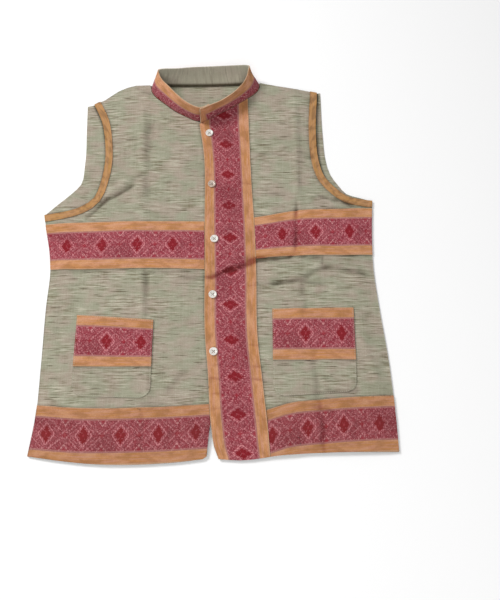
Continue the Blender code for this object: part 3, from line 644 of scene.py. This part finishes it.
def thread_material(name, colour):
    material, wiring, shader = new_material(name, 0.7, 0.1)
    place = wiring.node("ShaderNodeTexCoord").outputs["Object"]
    twist = wiring.node("ShaderNodeTexNoise")
    wiring.feed(twist.inputs["Vector"], place)
    twist.inputs["Scale"].default_value = 900.0
    darker = tuple(value * 0.7 for value in colour[:3]) + (1.0,)
    wiring.feed(shader.inputs["Base Color"], wiring.mixed(twist.outputs[0], darker, colour))
    return material


# Cloth shells

def upper_skin(node):
    """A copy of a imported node's upper side, merged into one sheet."""
    bm = bmesh.new()
    bm.from_mesh(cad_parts[node].data)
    bmesh.ops.remove_doubles(bm, verts=bm.verts, dist=MERGE)
    bm.normal_update()
    rest = [face for face in bm.faces if face.normal.z < UPPER_SKIN]
    bmesh.ops.delete(bm, geom=rest, context="FACES")
    return bm


def refine(bm, longest, beside=None):
    """Cuts the long edges of a sheet in two, over and over, or only those beside some line of points."""
    for _ in range(REFINE_ROUNDS):
        long_edges = [edge for edge in bm.edges if edge.calc_length() > longest]
        if beside:
            long_edges = [edge for edge in long_edges if from_line(beside, edge.verts[0]) < SHADE_REACH]
        bmesh.ops.subdivide_edges(bm, edges=long_edges, cuts=1)
        open_faces = [face for face in bm.faces if len(face.verts) > 3]
        bmesh.ops.triangulate(bm, faces=open_faces)


def smooth_facets(bm, rounds):
    """Rounds a sheet's facets upwards and downwards only, so that its outline stays."""
    inner = [vert for vert in bm.verts if not vert.is_boundary]
    for _ in range(rounds):
        bmesh.ops.smooth_vert(
            bm, verts=inner, factor=0.5, use_axis_x=False, use_axis_y=False, use_axis_z=True
        )


def crease_share(crease, x, y):
    """How near a place is to a crease's line, from 0 to 1. The line wanders and runs out at its ends."""
    run_x, run_y = crease.x1 - crease.x0, crease.y1 - crease.y0
    length = math.hypot(run_x, run_y)
    along = ((x - crease.x0) * run_x + (y - crease.y0) * run_y) / length
    aside = ((x - crease.x0) * run_y - (y - crease.y0) * run_x) / length
    if abs(aside) > CREASE_REACH * crease.width or not 0 < along < length:
        return 0.0
    seed = Vector((along * CREASE_TURNS, crease.x0 * 100, crease.y0 * 100))
    aside += noise.noise(seed) * crease.width * CREASE_WANDER
    uneven = CREASE_DEPTH + CREASE_UNEVEN * noise.noise(seed * 1.7)
    run_out = CREASE_RUN_OUT * length
    ends = eased(along / run_out) * eased((length - along) / run_out)
    return uneven * ends * math.exp(-((aside / crease.width) ** 2))


def painted_shade_at(x, y):
    """How much painted shade darkens the bottom of the cloth's troughs."""
    dull = [crease_share(crease, x, y) ** PAINTED_SHADE_SPREAD * crease.worn for crease in CREASES if crease.worn]
    return min(MOST_PAINTED_SHADE, sum(dull))


def rumple(x, y):
    rumples = [noise.noise(Vector((x * row.per_x, y * row.per_y, row.seed))) * row.height for row in RUMPLES]
    return sum(rumples)


def creased(bm, beneath):
    """Adds the creases, which fade at the sheet's own edges and stay clear of the cloth beneath."""
    tree = kd_tree([vert.co.copy() for vert in bm.verts if vert.is_boundary])
    back_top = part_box("back")[1][2]
    for vert in bm.verts:
        x, y, own = vert.co
        height = sum(crease.height * crease_share(crease, x, y) for crease in CREASES)
        level = own + (height + rumple(x, y)) * eased(tree.find(vert.co)[2] / SEAM_HOLD)
        hit = beneath.ray_cast(Vector((x, y, 0.0)) + ABOVE, DOWN)[0] if beneath else None
        lowest = (hit.z if hit else back_top) + ON_CLOTH
        vert.co.z = max(level, min(own, lowest))


def painted_shade_map(bm, edges=None, deep=0.0, troughs=True):
    """Writes the painted shade at each place: in its troughs, and close beside the edges that lie on it."""
    layer = bm.verts.layers.float.new("worn")
    for vert in bm.verts:
        x, y = vert.co.x, vert.co.y
        shade = painted_shade_at(x, y) if troughs else 0.0
        if edges:
            uneven = 1 + EDGE_UNEVEN * noise.noise(Vector((x * EDGE_TURNS, y * EDGE_TURNS, 8.0)))
            shade += deep * uneven * edge_shade(from_line(edges, vert))
        vert[layer] = shade


def edge_shade(apart):
    """1 at a sewn edge, fading to nothing beside it."""
    return math.exp(-((apart / EDGE_SHADE) ** 2))


def edge_tree(nodes):
    """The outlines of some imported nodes, seen from above."""
    rims = []
    for node in nodes:
        bm = upper_skin(node)
        refine(bm, EDGE_STEP)
        rims += [Vector((v.co.x, v.co.y, 0.0)) for v in bm.verts if v.is_boundary]
        bm.free()
    return kd_tree(rims)


def kd_tree(points):
    tree = KDTree(len(points))
    for index, point in enumerate(points):
        tree.insert(point, index)
    tree.balance()
    return tree


def from_line(line, vert):
    """How far a point is from a line of points, seen from above."""
    return line.find((vert.co.x, vert.co.y, 0.0))[2]


def lay_on(bm, tree, lift):
    """Drops a sheet's points on the cloth beneath and lifts them clear of it."""
    for vert in bm.verts:
        vert.co.z = height_on(tree, vert.co.x, vert.co.y) + lift


def height_on(tree, x, y):
    hit = tree.ray_cast(Vector((x, y, 0.0)) + ABOVE, DOWN)[0]
    if hit is None:
        hit = tree.find_nearest(Vector((x, y, CLOTH_LEVEL)))[0]
    return hit.z


def weave_map(bm, place):
    """Writes each point's place over the cloth, in metres, as the piece's own map."""
    layer = bm.loops.layers.uv.new("weave")
    for face in bm.faces:
        for loop in face.loops:
            loop[layer].uv = place(loop.vert.co)


def cut_place(panel, co, tilts=()):
    """A point's weft and warp place in the cloth that its panel is cut from, where it may lie askew."""
    lean = 0.0
    for tilt in tilts:
        apart = ((co.x - tilt.x) / tilt.reach_x) ** 2 + ((co.y - tilt.y) / tilt.reach_y) ** 2
        lean += tilt.slope * (co.x - tilt.x) * math.exp(-apart)
    start = CUT_FROM[panel]
    return co.x + start[0], co.y - lean + start[1]


def spread(bm, axis):
    """A sheet's lowest and highest place along one axis."""
    places = [vert.co[axis] for vert in bm.verts]
    return min(places), max(places)


def side_line(bm, along, high):
    """One long edge of a strip, as places along it in order and the places across."""
    across = 1 - along
    low, top = spread(bm, across)
    found = {}
    for edge in bm.edges:
        run = edge.verts[1].co - edge.verts[0].co
        if not edge.is_boundary or abs(run[along]) < 2 * abs(run[across]):
            continue
        for vert in edge.verts:
            if (vert.co[across] > (low + top) / 2) == high:
                found[round(vert.co[along], 6)] = vert.co[across]
    return sorted(found.items())


def on_line(line, place):
    """The value of a line of rows at one place, held at its ends."""
    if place <= line[0][0]:
        return line[0][1]
    for (start, first), (end, last) in zip(line, line[1:]):
        if place <= end:
            return first + (last - first) * (place - start) / (end - start)
    return line[-1][1]


def shell(name, bm, thickness, material, strip_cut=None):
    """A finished cloth piece from a sheet: its wall and its rounded edge."""
    area = sum(face.calc_area() for face in bm.faces)
    if strip_cut:
        flat_width, flat_length = strip_cut, area / strip_cut
    else:
        (left, right), (bottom, top) = spread(bm, 0), spread(bm, 1)
        flat_width, flat_length = right - left, top - bottom
    area = min(area, flat_width * flat_length)
    piece = wall(name, bm, thickness, material)


def shown(name, bm, material):
    """A smooth object in the scene, with its one material."""
    mesh = bpy.data.meshes.new(name)
    bm.to_mesh(mesh)
    mesh.shade_smooth()
    mesh.materials.append(material)
    piece = bpy.data.objects.new(name, mesh)
    bpy.context.scene.collection.objects.link(piece)
    return piece


def wall(name, bm, thickness, material):
    piece = shown(name + "_cloth", bm, material)
    thicken = piece.modifiers.new("thickness", "SOLIDIFY")
    thicken.thickness = thickness
    thicken.offset = -1.0
    thicken.use_even_offset = False
    soften = piece.modifiers.new("folded_edge", "BEVEL")
    soften.width = EDGE_ROUND
    soften.segments = 2
    soften.limit_method = "ANGLE"
    soften.angle_limit = math.radians(60)
    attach(piece, "root")
    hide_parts(name)
    return piece


def front(side, materials, beneath=None):
    """One front: its panel, then all that is sewn on it. The left one laps over the right one."""
    name = f"front_{side}"
    bm = upper_skin(name)
    refine(bm, FRONT_STEP)
    smooth_facets(bm, FACET_ROUNDS)
    creased(bm, beneath)
    bm.normal_update()
    tree = BVHTree.FromBMesh(bm)
    weave_map(bm, lambda co: cut_place(name, co, TILTS))
    sewn_on = [f"chest_band_{side}", f"hem_band_{side}", f"armhole_binding_{side}", "placket_band"]
    painted_shade_map(bm, edge_tree(sewn_on), ON_FRONT_SHADE)
    shell(name, bm, CLOTH_WALL, materials["cloth"])

    pocket = laid_sheet(f"pocket_{side}", tree, ON_CLOTH)
    weave_map(pocket, lambda co: cut_place("pocket", co))
    painted_shade_map(pocket, edge_tree([f"pocket_band_{side}"]), ON_FRONT_SHADE)
    shell(f"pocket_{side}", pocket, STRIP_WALL, materials["cloth"])
    pocket_stitches(side, pocket, tree, materials["pale_thread"])
    pocket.free()

    strips = [
        (f"chest_band_{side}", ON_CLOTH, 0),
        (f"hem_band_{side}", ON_CLOTH, 0),
        (f"pocket_band_{side}", ON_POCKET, 0),
    ]
    if side == "left":
        strips.append(("placket_band", ON_CLOTH, 1))
    for strip, lift, along in strips:
        laid_strip(strip, tree, lift, along, materials)
    laid_binding(side, tree, bm, materials)
    bm.free()
    return tree


def laid_sheet(node, tree, lift):
    """A pocket, strip or binding that follows the creased cloth beneath it."""
    bm = upper_skin(node)
    refine(bm, STRIP_STEP)
    lay_on(bm, tree, lift)
    bm.normal_update()
    return bm


def laid_strip(node, tree, lift, along, materials):
    """A border strip, with its map measured between its own two long edges."""
    bm = laid_sheet(node, tree, lift)
    across = 1 - along
    low, high = side_line(bm, along, False), side_line(bm, along, True)
    whole = not node.startswith("hem_band")

    def place(co):
        top, bottom = on_line(high, co[along]), on_line(low, co[along])
        width = top - bottom if whole else STRIP_WIDTH
        return co[along], (top - co[across]) / width * STRIP_WIDTH

    weave_map(bm, place)
    painted_shade_map(bm)
    shell(node, bm, STRIP_WALL, materials[node])
    top_stitches(node, edge_routes(bm, along), tree, lift, materials["orange_thread"])
    bm.free()


def laid_binding(side, tree, front_sheet, materials):
    """The bias binding, with its map measured in from the armhole's edge."""
    node = f"armhole_binding_{side}"
    bm = laid_sheet(node, tree, ON_CLOTH)
    edge = kd_tree([vert.co for vert in front_sheet.verts if vert.is_boundary])
    turn = 1 if side == "right" else -1
    weave_map(bm, lambda co: (co.y + turn * co.x, edge.find(co)[2]))
    painted_shade_map(bm)
    shell(node, bm, STRIP_WALL, materials["binding"], BINDING_WIDTH)
    top_stitches(node, [inset_loop(rim_loop(bm), STITCH_INSET)], tree, ON_CLOTH, materials["orange_thread"])
    bm.free()


def back(materials):
    bm = upper_skin("back")
    refine(bm, BACK_STEP)
    fronts, foot = edge_tree(["front_right", "front_left"]), collar_foot()
    refine(bm, SHADE_STEP, fronts)
    refine(bm, SHADE_STEP, foot)
    under_collar(bm)
    weave_map(bm, lambda co: cut_place("back", co))
    painted_shade_map(bm, fronts, ON_BACK_SHADE, troughs=False)
    neck_shadow(bm, foot)
    shell("back", bm, CLOTH_WALL, materials["cloth"])
    bm.free()


def collar_foot():
    """The line where the collar is sewn on, seen from above."""
    line = ring_lines("collar", False)[0]
    places = [on_curve(line, row / COLLAR_ROUND / 2) for row in range(2 * COLLAR_ROUND + 1)]
    return kd_tree([Vector((place.x, place.y, 0.0)) for place in places])


def neck_shadow(bm, foot):
    """Painted shade on the back right under the collar's foot."""
    layer = bm.verts.layers.float["worn"]
    for vert in bm.verts:
        vert[layer] += FOOT_SHADE * edge_shade(from_line(foot, vert))


def under_collar(bm):
    """The back's neckline runs on under the collar's foot, where it is sewn in."""
    low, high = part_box("collar")

    def in_neckline(vert):
        return low.x < vert.co.x < high.x and NECKLINE_ABOVE < vert.co.y < NECKLINE_BELOW

    neck = [edge for edge in bm.edges if edge.is_boundary and all(map(in_neckline, edge.verts))]
    grown = bmesh.ops.extrude_edge_only(bm, edges=neck)["geom"]
    verts = [item for item in grown if isinstance(item, bmesh.types.BMVert)]
    bmesh.ops.translate(bm, verts=verts, vec=(0.0, NECK_ALLOWANCE, 0.0))
    bm.normal_update()


def ring_sheet(node, outward):
    """The collar's inner or outer face, from a merged copy of its solid."""
    bm = bmesh.new()
    bm.from_mesh(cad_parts[node].data)
    bmesh.ops.remove_doubles(bm, verts=bm.verts, dist=MERGE)
    bm.normal_update()
    edges = [face for face in bm.faces if min(edge.calc_length() for edge in face.edges) < COLLAR_EDGE]
    bmesh.ops.delete(bm, geom=edges, context="FACES")
    facing = -1 if outward else 1
    facing_faces = [face for face in bm.faces if face.normal.x * facing > COLLAR_SIDE]
    first = min(facing_faces, key=lambda face: face.calc_center_median().x)
    kept, waiting = {first}, [first]
    while waiting:
        for edge in waiting.pop().edges:
            for face in edge.link_faces:
                if face not in kept:
                    kept.add(face)
                    waiting.append(face)
    bmesh.ops.delete(bm, geom=[face for face in bm.faces if face not in kept], context="FACES")
    return bm


def rim_loop(bm):
    """A sheet's outline, as points in order."""
    rim = [edge for edge in bm.edges if edge.is_boundary]
    used = {rim[0]}
    last = rim[0].verts[1]
    loop = [rim[0].verts[0], last]
    for _ in rim:
        following = [edge for edge in last.link_edges if edge.is_boundary and edge not in used]
        if not following:
            break
        used.add(following[0])
        last = following[0].other_vert(last)
        loop.append(last)
    return [vert.co.copy() for vert in loop[:-1]]


def ring_lines(node, outward):
    """The collar's foot and rim, each in order from its right end round the neck to its left end."""
    bm = ring_sheet(node, outward)
    loop = rim_loop(bm)
    bm.free()
    low = [point.z < COLLAR_FOOT_BELOW for point in loop]
    start = next(row for row in range(len(loop)) if low[row] and not low[row - 1])
    loop = loop[start:] + loop[:start]
    foot = [point for point in loop if point.z < COLLAR_FOOT_BELOW]
    rim = [point for point in loop if point.z > COLLAR_RIM_ABOVE][::-1]
    if foot[0].y < foot[-1].y:
        foot, rim = foot[::-1], rim[::-1]
    return foot, rim


def on_curve(points, share):
    """A point part of the way along a line of points, on a smooth curve through them."""
    place = share * (len(points) - 1)
    row = min(int(place), len(points) - 2)
    rest = place - row
    first, last = points[row], points[row + 1]
    before = points[row - 1] if row else first * 2 - last
    after = points[row + 2] if row + 2 < len(points) else last * 2 - first
    return (
        first
        + (last - before) * (0.5 * rest)
        + (before - first * 2.5 + last * 2 - after * 0.5) * rest**2
        + ((first - last) * 1.5 + (after - before) * 0.5) * rest**3
    )


def rim_trim(outward, round_share):
    """How the two layers' upper edges differ: the cloth stands higher behind, the strip in front."""
    behind = eased((round_share - BEHIND_FROM) / BEHIND_RUN) * eased((BEHIND_TO - round_share) / BEHIND_RUN)
    if outward:
        return 1 - RIM_TRIM * behind
    return 1 - RIM_TRIM * (1 - behind) + RIM_TRIM / 2 * behind


def ring_point(lines, round_share, up_share):
    """A point on the collar, bowed a little outwards, and the way out from it."""
    foot, rim = on_curve(lines[0], round_share), on_curve(lines[1], round_share)
    after, before = min(1.0, round_share + 0.01), max(0.0, round_share - 0.01)
    ahead = on_curve(lines[0], after) - on_curve(lines[0], before)
    outward = (rim - foot).cross(ahead).normalized()
    ripple = noise.noise(Vector((round_share * 9, up_share * 1.5, 2.0))) * COLLAR_RIPPLE
    bow = COLLAR_BOW * 4 * up_share * (1 - up_share) + ripple * up_share
    return foot.lerp(rim, up_share) + outward * bow, outward


def collar(node, outward, thickness, material):
    """One layer of the stand collar: a grid bent round the neck, with its map along and up it."""
    lines = ring_lines(node, outward)
    length = sum((after - before).length for before, after in zip(lines[0], lines[0][1:]))
    bm = bmesh.new()
    layer = bm.loops.layers.uv.new("weave")
    shade = bm.verts.layers.float.new("worn")
    bmesh.ops.create_grid(bm, x_segments=COLLAR_ROUND, y_segments=COLLAR_UP, size=1.0)
    for face in bm.faces:
        for loop in face.loops:
            along = (loop.vert.co.x + 1) / 2 * length
            up = (loop.vert.co.y + 1) / 2 * COLLAR_HEIGHT
            # The strip is mitred at the collar's left end, so its orange edge turns down there.
            if outward:
                loop[layer].uv = (along, min(COLLAR_HEIGHT - up, length - along))
            else:
                loop[layer].uv = (up, along)
    # Painted shade along the collar's foot: deep on the inner cloth, lighter on the outer strip.
    deep = ON_BAND_SHADE if outward else FOOT_SHADE
    for vert in bm.verts:
        round_share, up_share = (vert.co.x + 1) / 2, (vert.co.y + 1) / 2
        vert[shade] = deep * edge_shade(up_share * COLLAR_HEIGHT)
        vert.co = ring_point(lines, round_share, up_share * rim_trim(outward, round_share))[0]
    bm.normal_update()
    side = min(bm.faces, key=lambda face: face.calc_center_median().x)
    if (side.normal.x < 0) != outward:
        bmesh.ops.reverse_faces(bm, faces=bm.faces)
    shell(node, bm, thickness, material, COLLAR_HEIGHT)
    bm.free()
    return lines


# Buttons and sewing

def turned(bm, profile, segments):
    """Spins a profile of rows out and up round the upright axis."""
    verts = [bm.verts.new((out, 0.0, up)) for out, up in profile]
    edges = [bm.edges.new(pair) for pair in zip(verts, verts[1:])]
    bmesh.ops.spin(
        bm,
        geom=verts + edges,
        cent=(0.0, 0.0, 0.0),
        axis=(0.0, 0.0, 1.0),
        angle=2 * math.pi,
        steps=segments,
        use_merge=True,
    )
    bmesh.ops.remove_doubles(bm, verts=bm.verts, dist=MERGE)
    bmesh.ops.recalc_face_normals(bm, faces=bm.faces)


def inset_loop(loop, inset):
    """An outline drawn in by a small distance, closed again at its start."""
    closed = loop + loop[:1]
    turning = sum(start.x * end.y - end.x * start.y for start, end in zip(closed, closed[1:]))
    inward = inset if turning > 0 else -inset
    moved = []
    for row, point in enumerate(loop):
        ahead = (closed[row + 1] - loop[row - 1]).normalized()
        moved.append((point.x - ahead.y * inward, point.y + ahead.x * inward))
    return moved + moved[:1]


def edge_routes(bm, along):
    """The lines just inside a strip's two long edges, where it is stitched down."""
    routes = []
    for high in (False, True):
        inset = -STITCH_INSET if high else STITCH_INSET
        line = side_line(bm, along, high)
        if along == 0:
            routes.append([(place, edge + inset) for place, edge in line])
        else:
            routes.append([(edge + inset, place) for place, edge in line])
    return routes


def top_stitches(name, routes, tree, lift, thread):
    """Rows of stitches that follow the cloth beneath them."""
    bm = bmesh.new()
    for route in routes:
        sew(bm, [Vector((x, y, height_on(tree, x, y) + lift)) for x, y in route])
    loose(name + "_stitches", bm, thread)


def pocket_stitches(side, sheet, tree, thread):
    """A pocket is stitched round its sides and bottom and stays open at its top."""
    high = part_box(f"pocket_{side}")[1]
    band_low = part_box(f"pocket_band_{side}")[0]
    bm = bmesh.new()
    run = []
    for x, y in inset_loop(rim_loop(sheet), STITCH_INSET):
        if y > high.y - POCKET_MOUTH:
            sew(bm, run)
            run = []
            continue
        lift = ON_POCKET if y > band_low.y else ON_CLOTH
        run.append(Vector((x, y, height_on(tree, x, y) + lift)))
    sew(bm, run)
    loose(f"pocket_{side}_stitches", bm, thread)


def collar_stitches(lines, thread):
    bm = bmesh.new()
    for up_share in (STITCH_INSET / COLLAR_HEIGHT, 1 - STITCH_INSET / COLLAR_HEIGHT):
        places = [ring_point(lines, row / COLLAR_ROUND, up_share) for row in range(COLLAR_ROUND + 1)]
        sew(bm, [place for place, _ in places], [outward for _, outward in places])
    loose("collar_stitches", bm, thread)


def buttonhole(node, tree, thread, slit_material):
    """A slit bound with thread, in line with the strip and mostly hidden by its button."""
    low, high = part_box(node)
    x, y = (low.x + high.x) / 2, (low.y + high.y) / 2
    rows = round(BUTTONHOLE_LENGTH / BUTTONHOLE_PITCH)
    bm = bmesh.new()
    for row in range(rows + 1):
        at = y + (row / rows - 0.5) * BUTTONHOLE_LENGTH
        for side in (-1, 1):
            place = Vector((x + side * BUTTONHOLE_ASIDE, at, height_on(tree, x, at) + ON_CLOTH))
            stitch(bm, place, Vector((1.0, 0.0, 0.0)), UP)
    loose(node + "_hole_stitches", bm, thread)
    bm = bmesh.new()
    size = Matrix.Diagonal((SLIT_WIDTH, BUTTONHOLE_LENGTH, STITCH_RADIUS, 1.0))
    middle = Vector((x, y, height_on(tree, x, y) + ON_CLOTH))
    bmesh.ops.create_cube(bm, size=1.0, matrix=Matrix.Translation(middle) @ size)
    loose(node + "_slit", bm, slit_material)


def button(node, pearl, thread):
    """A pearl button with a dished middle and four holes, sewn on with crossed thread."""
    low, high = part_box(node)
    seat = Vector(((low.x + high.x) / 2, (low.y + high.y) / 2, low.z))
    radius = (high.x - low.x) / 2
    tall = high.z - low.z
    bm = bmesh.new()
    turned(bm, [(out * radius, up * tall) for out, up in BUTTON_PROFILE], BUTTON_SIDES)
    bmesh.ops.translate(bm, verts=bm.verts, vec=seat)
    piece = shown(node + "_pearl", bm, pearl)
    bm.free()
    drill_holes(piece, node, seat, tall)
    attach(piece, "root")
    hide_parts(node)

    bm = bmesh.new()
    size = Matrix.Diagonal((HOLE_FROM_CENTRE * CROSS_REACH, *CROSS_THREAD, 1.0))
    rise = Matrix.Translation(seat + Vector((0.0, 0.0, tall * CROSS_LEVEL)))
    for turn in (1, 3):
        place = rise @ Matrix.Rotation(turn * math.pi / 4, 4, "Z") @ size
        bmesh.ops.create_uvsphere(bm, u_segments=10, v_segments=8, radius=1.0, matrix=place)
    loose(node + "_thread", bm, thread)


def drill_holes(piece, node, seat, tall):
    """Cuts the button's holes and keeps the cut mesh."""
    bm = bmesh.new()
    for count in range(HOLES):
        angle = math.pi / HOLES + count * 2 * math.pi / HOLES
        aside = Vector((math.cos(angle), math.sin(angle), 0.0)) * HOLE_FROM_CENTRE
        bmesh.ops.create_cone(
            bm,
            cap_ends=True,
            segments=HOLE_SIDES,
            radius1=HOLE_RADIUS,
            radius2=HOLE_RADIUS,
            depth=4 * tall,
            matrix=Matrix.Translation(seat + aside),
        )
    cutter_mesh = bpy.data.meshes.new(node + "_holes")
    bm.to_mesh(cutter_mesh)
    bm.free()
    cutter = bpy.data.objects.new(node + "_holes", cutter_mesh)
    bpy.context.scene.collection.objects.link(cutter)
    drill = piece.modifiers.new("holes", "BOOLEAN")
    drill.object = cutter
    drill.solver = "EXACT"
    graph = bpy.context.evaluated_depsgraph_get()
    drilled = bpy.data.meshes.new_from_object(piece.evaluated_get(graph))
    piece.modifiers.clear()
    piece.data = drilled
    drilled.set_sharp_from_angle(angle=SHARP_EDGE)
    bpy.data.objects.remove(cutter)


def loose(name, bm, material):
    """A small sewn thing with no solid of its own."""
    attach(shown(name, bm, material), "root")
    bm.free()


def stitch_shape():
    """The points and faces of a ball, which each stitch stretches."""
    bm = bmesh.new()
    bmesh.ops.create_uvsphere(bm, u_segments=6, v_segments=4, radius=1.0)
    bm.verts.index_update()
    points = [vert.co.copy() for vert in bm.verts]
    faces = [[vert.index for vert in face.verts] for face in bm.faces]
    bm.free()
    return points, faces


STITCH_POINTS, STITCH_FACES = stitch_shape()


def stitch(bm, place, ahead, up):
    """One stitch: a short thread that dips into the cloth at both ends."""
    aside = up.cross(ahead).normalized()
    turn = Matrix((ahead, aside, ahead.cross(aside))).transposed().to_4x4()
    size = Matrix.Diagonal((STITCH_LENGTH / 2, STITCH_RADIUS * STITCH_SPREAD, STITCH_RADIUS, 1.0))
    matrix = Matrix.Translation(place) @ turn @ size
    corners = [bm.verts.new(matrix @ point) for point in STITCH_POINTS]
    for face in STITCH_FACES:
        bm.faces.new([corners[index] for index in face])


def sew(bm, route, ups=None):
    """A row of stitches along a line of points on the cloth."""
    due = STITCH_PITCH / 2
    for start, end, up in zip(route, route[1:], ups or [UP] * len(route)):
        ahead = end - start
        length = ahead.length
        if length < MERGE:
            continue
        ahead.normalize()
        while due < length:
            stitch(bm, start + ahead * due, ahead, up)
            due += STITCH_PITCH
        due -= length


# The stage

def floor():
    bm = bmesh.new()
    bmesh.ops.create_grid(bm, x_segments=1, y_segments=1, size=FLOOR_HALF)
    bmesh.ops.translate(bm, verts=bm.verts, vec=(0.0, 0.0, -FLOOR_SINK))
    material = bpy.data.materials.new("pale_floor")
    material.use_nodes = True
    shader = material.node_tree.nodes["Principled BSDF"]
    shader.inputs["Base Color"].default_value = (FLOOR_TONE, FLOOR_TONE, FLOOR_TONE, 1.0)
    shader.inputs["Roughness"].default_value = 0.9
    shown("floor", bm, material)
    bm.free()


def lights():
    for name, row in LIGHTS.items():
        data = bpy.data.lights.new(name, "AREA")
        data.shape = "DISK"
        data.size = row.size
        data.energy = row.power
        made = bpy.data.objects.new(name, data)
        made.location = (row.x, row.y, row.z)
        made.rotation_euler = (-Vector(made.location)).to_track_quat("-Z", "Y").to_euler()
        bpy.context.scene.collection.objects.link(made)
    world = bpy.data.worlds.new("studio")
    world.use_nodes = True
    background = world.node_tree.nodes["Background"]
    background.inputs["Color"].default_value = (1.0, 1.0, 1.0, 1.0)
    background.inputs["Strength"].default_value = WORLD_LIGHT
    bpy.context.scene.world = world


def tones():
    """Colours are shown as they are, so that the cloth keeps its own."""
    bpy.context.scene.view_settings.view_transform = "Standard"


def camera():
    data = bpy.data.cameras.new("camera")
    data.lens = CAMERA_LENS
    data.sensor_width = SENSOR_WIDTH
    made = bpy.data.objects.new("camera", data)
    made.location = CAMERA_PLACE
    made.rotation_euler = (CAMERA_TILT, 0.0, 0.0)
    bpy.context.scene.collection.objects.link(made)
    bpy.context.scene.camera = made


def main():
    slub, threads, border = slub_effect(), thread_effect(), border_effect()
    materials = {
        "cloth": cloth_material("handloom_cloth", slub, threads, 0.0),
        "collar_cloth": cloth_material("collar_cloth", slub, threads, COLLAR_PAINTED_LIGHT),
        "binding": binding_material(threads),
    }
    for strip, motifs in MOTIFS.items():
        materials[strip] = border_material(strip, border, threads, motifs)
    materials["pale_thread"] = thread_material("pale_thread", srgb(206, 200, 180))
    materials["orange_thread"] = thread_material("orange_thread", srgb(196, 140, 92))
    grey_thread = thread_material("grey_thread", srgb(170, 164, 152))
    slit_material = thread_material("slit_shadow", srgb(70, 44, 36))
    pearl = pearl_material("pearl_button", srgb(214, 208, 200), srgb(240, 238, 232))
    dull_pearl = pearl_material("dull_pearl_button", srgb(178, 156, 140), srgb(206, 188, 174))
    camera()
    tones()
    lights()
    floor()
    back(materials)
    right_tree = front("right", materials)
    left_tree = front("left", materials, right_tree)
    collar("collar", False, CLOTH_WALL, materials["collar_cloth"])
    ring = collar("collar_band", True, COLLAR_BAND_WALL, materials["collar_band"])
    collar_stitches(ring, materials["orange_thread"])
    for name in sorted(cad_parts):
        if name.startswith("button"):
            button(name, dull_pearl if name == DULL_BUTTON else pearl, grey_thread)
            buttonhole(name, left_tree, materials["orange_thread"], slit_material)


main()
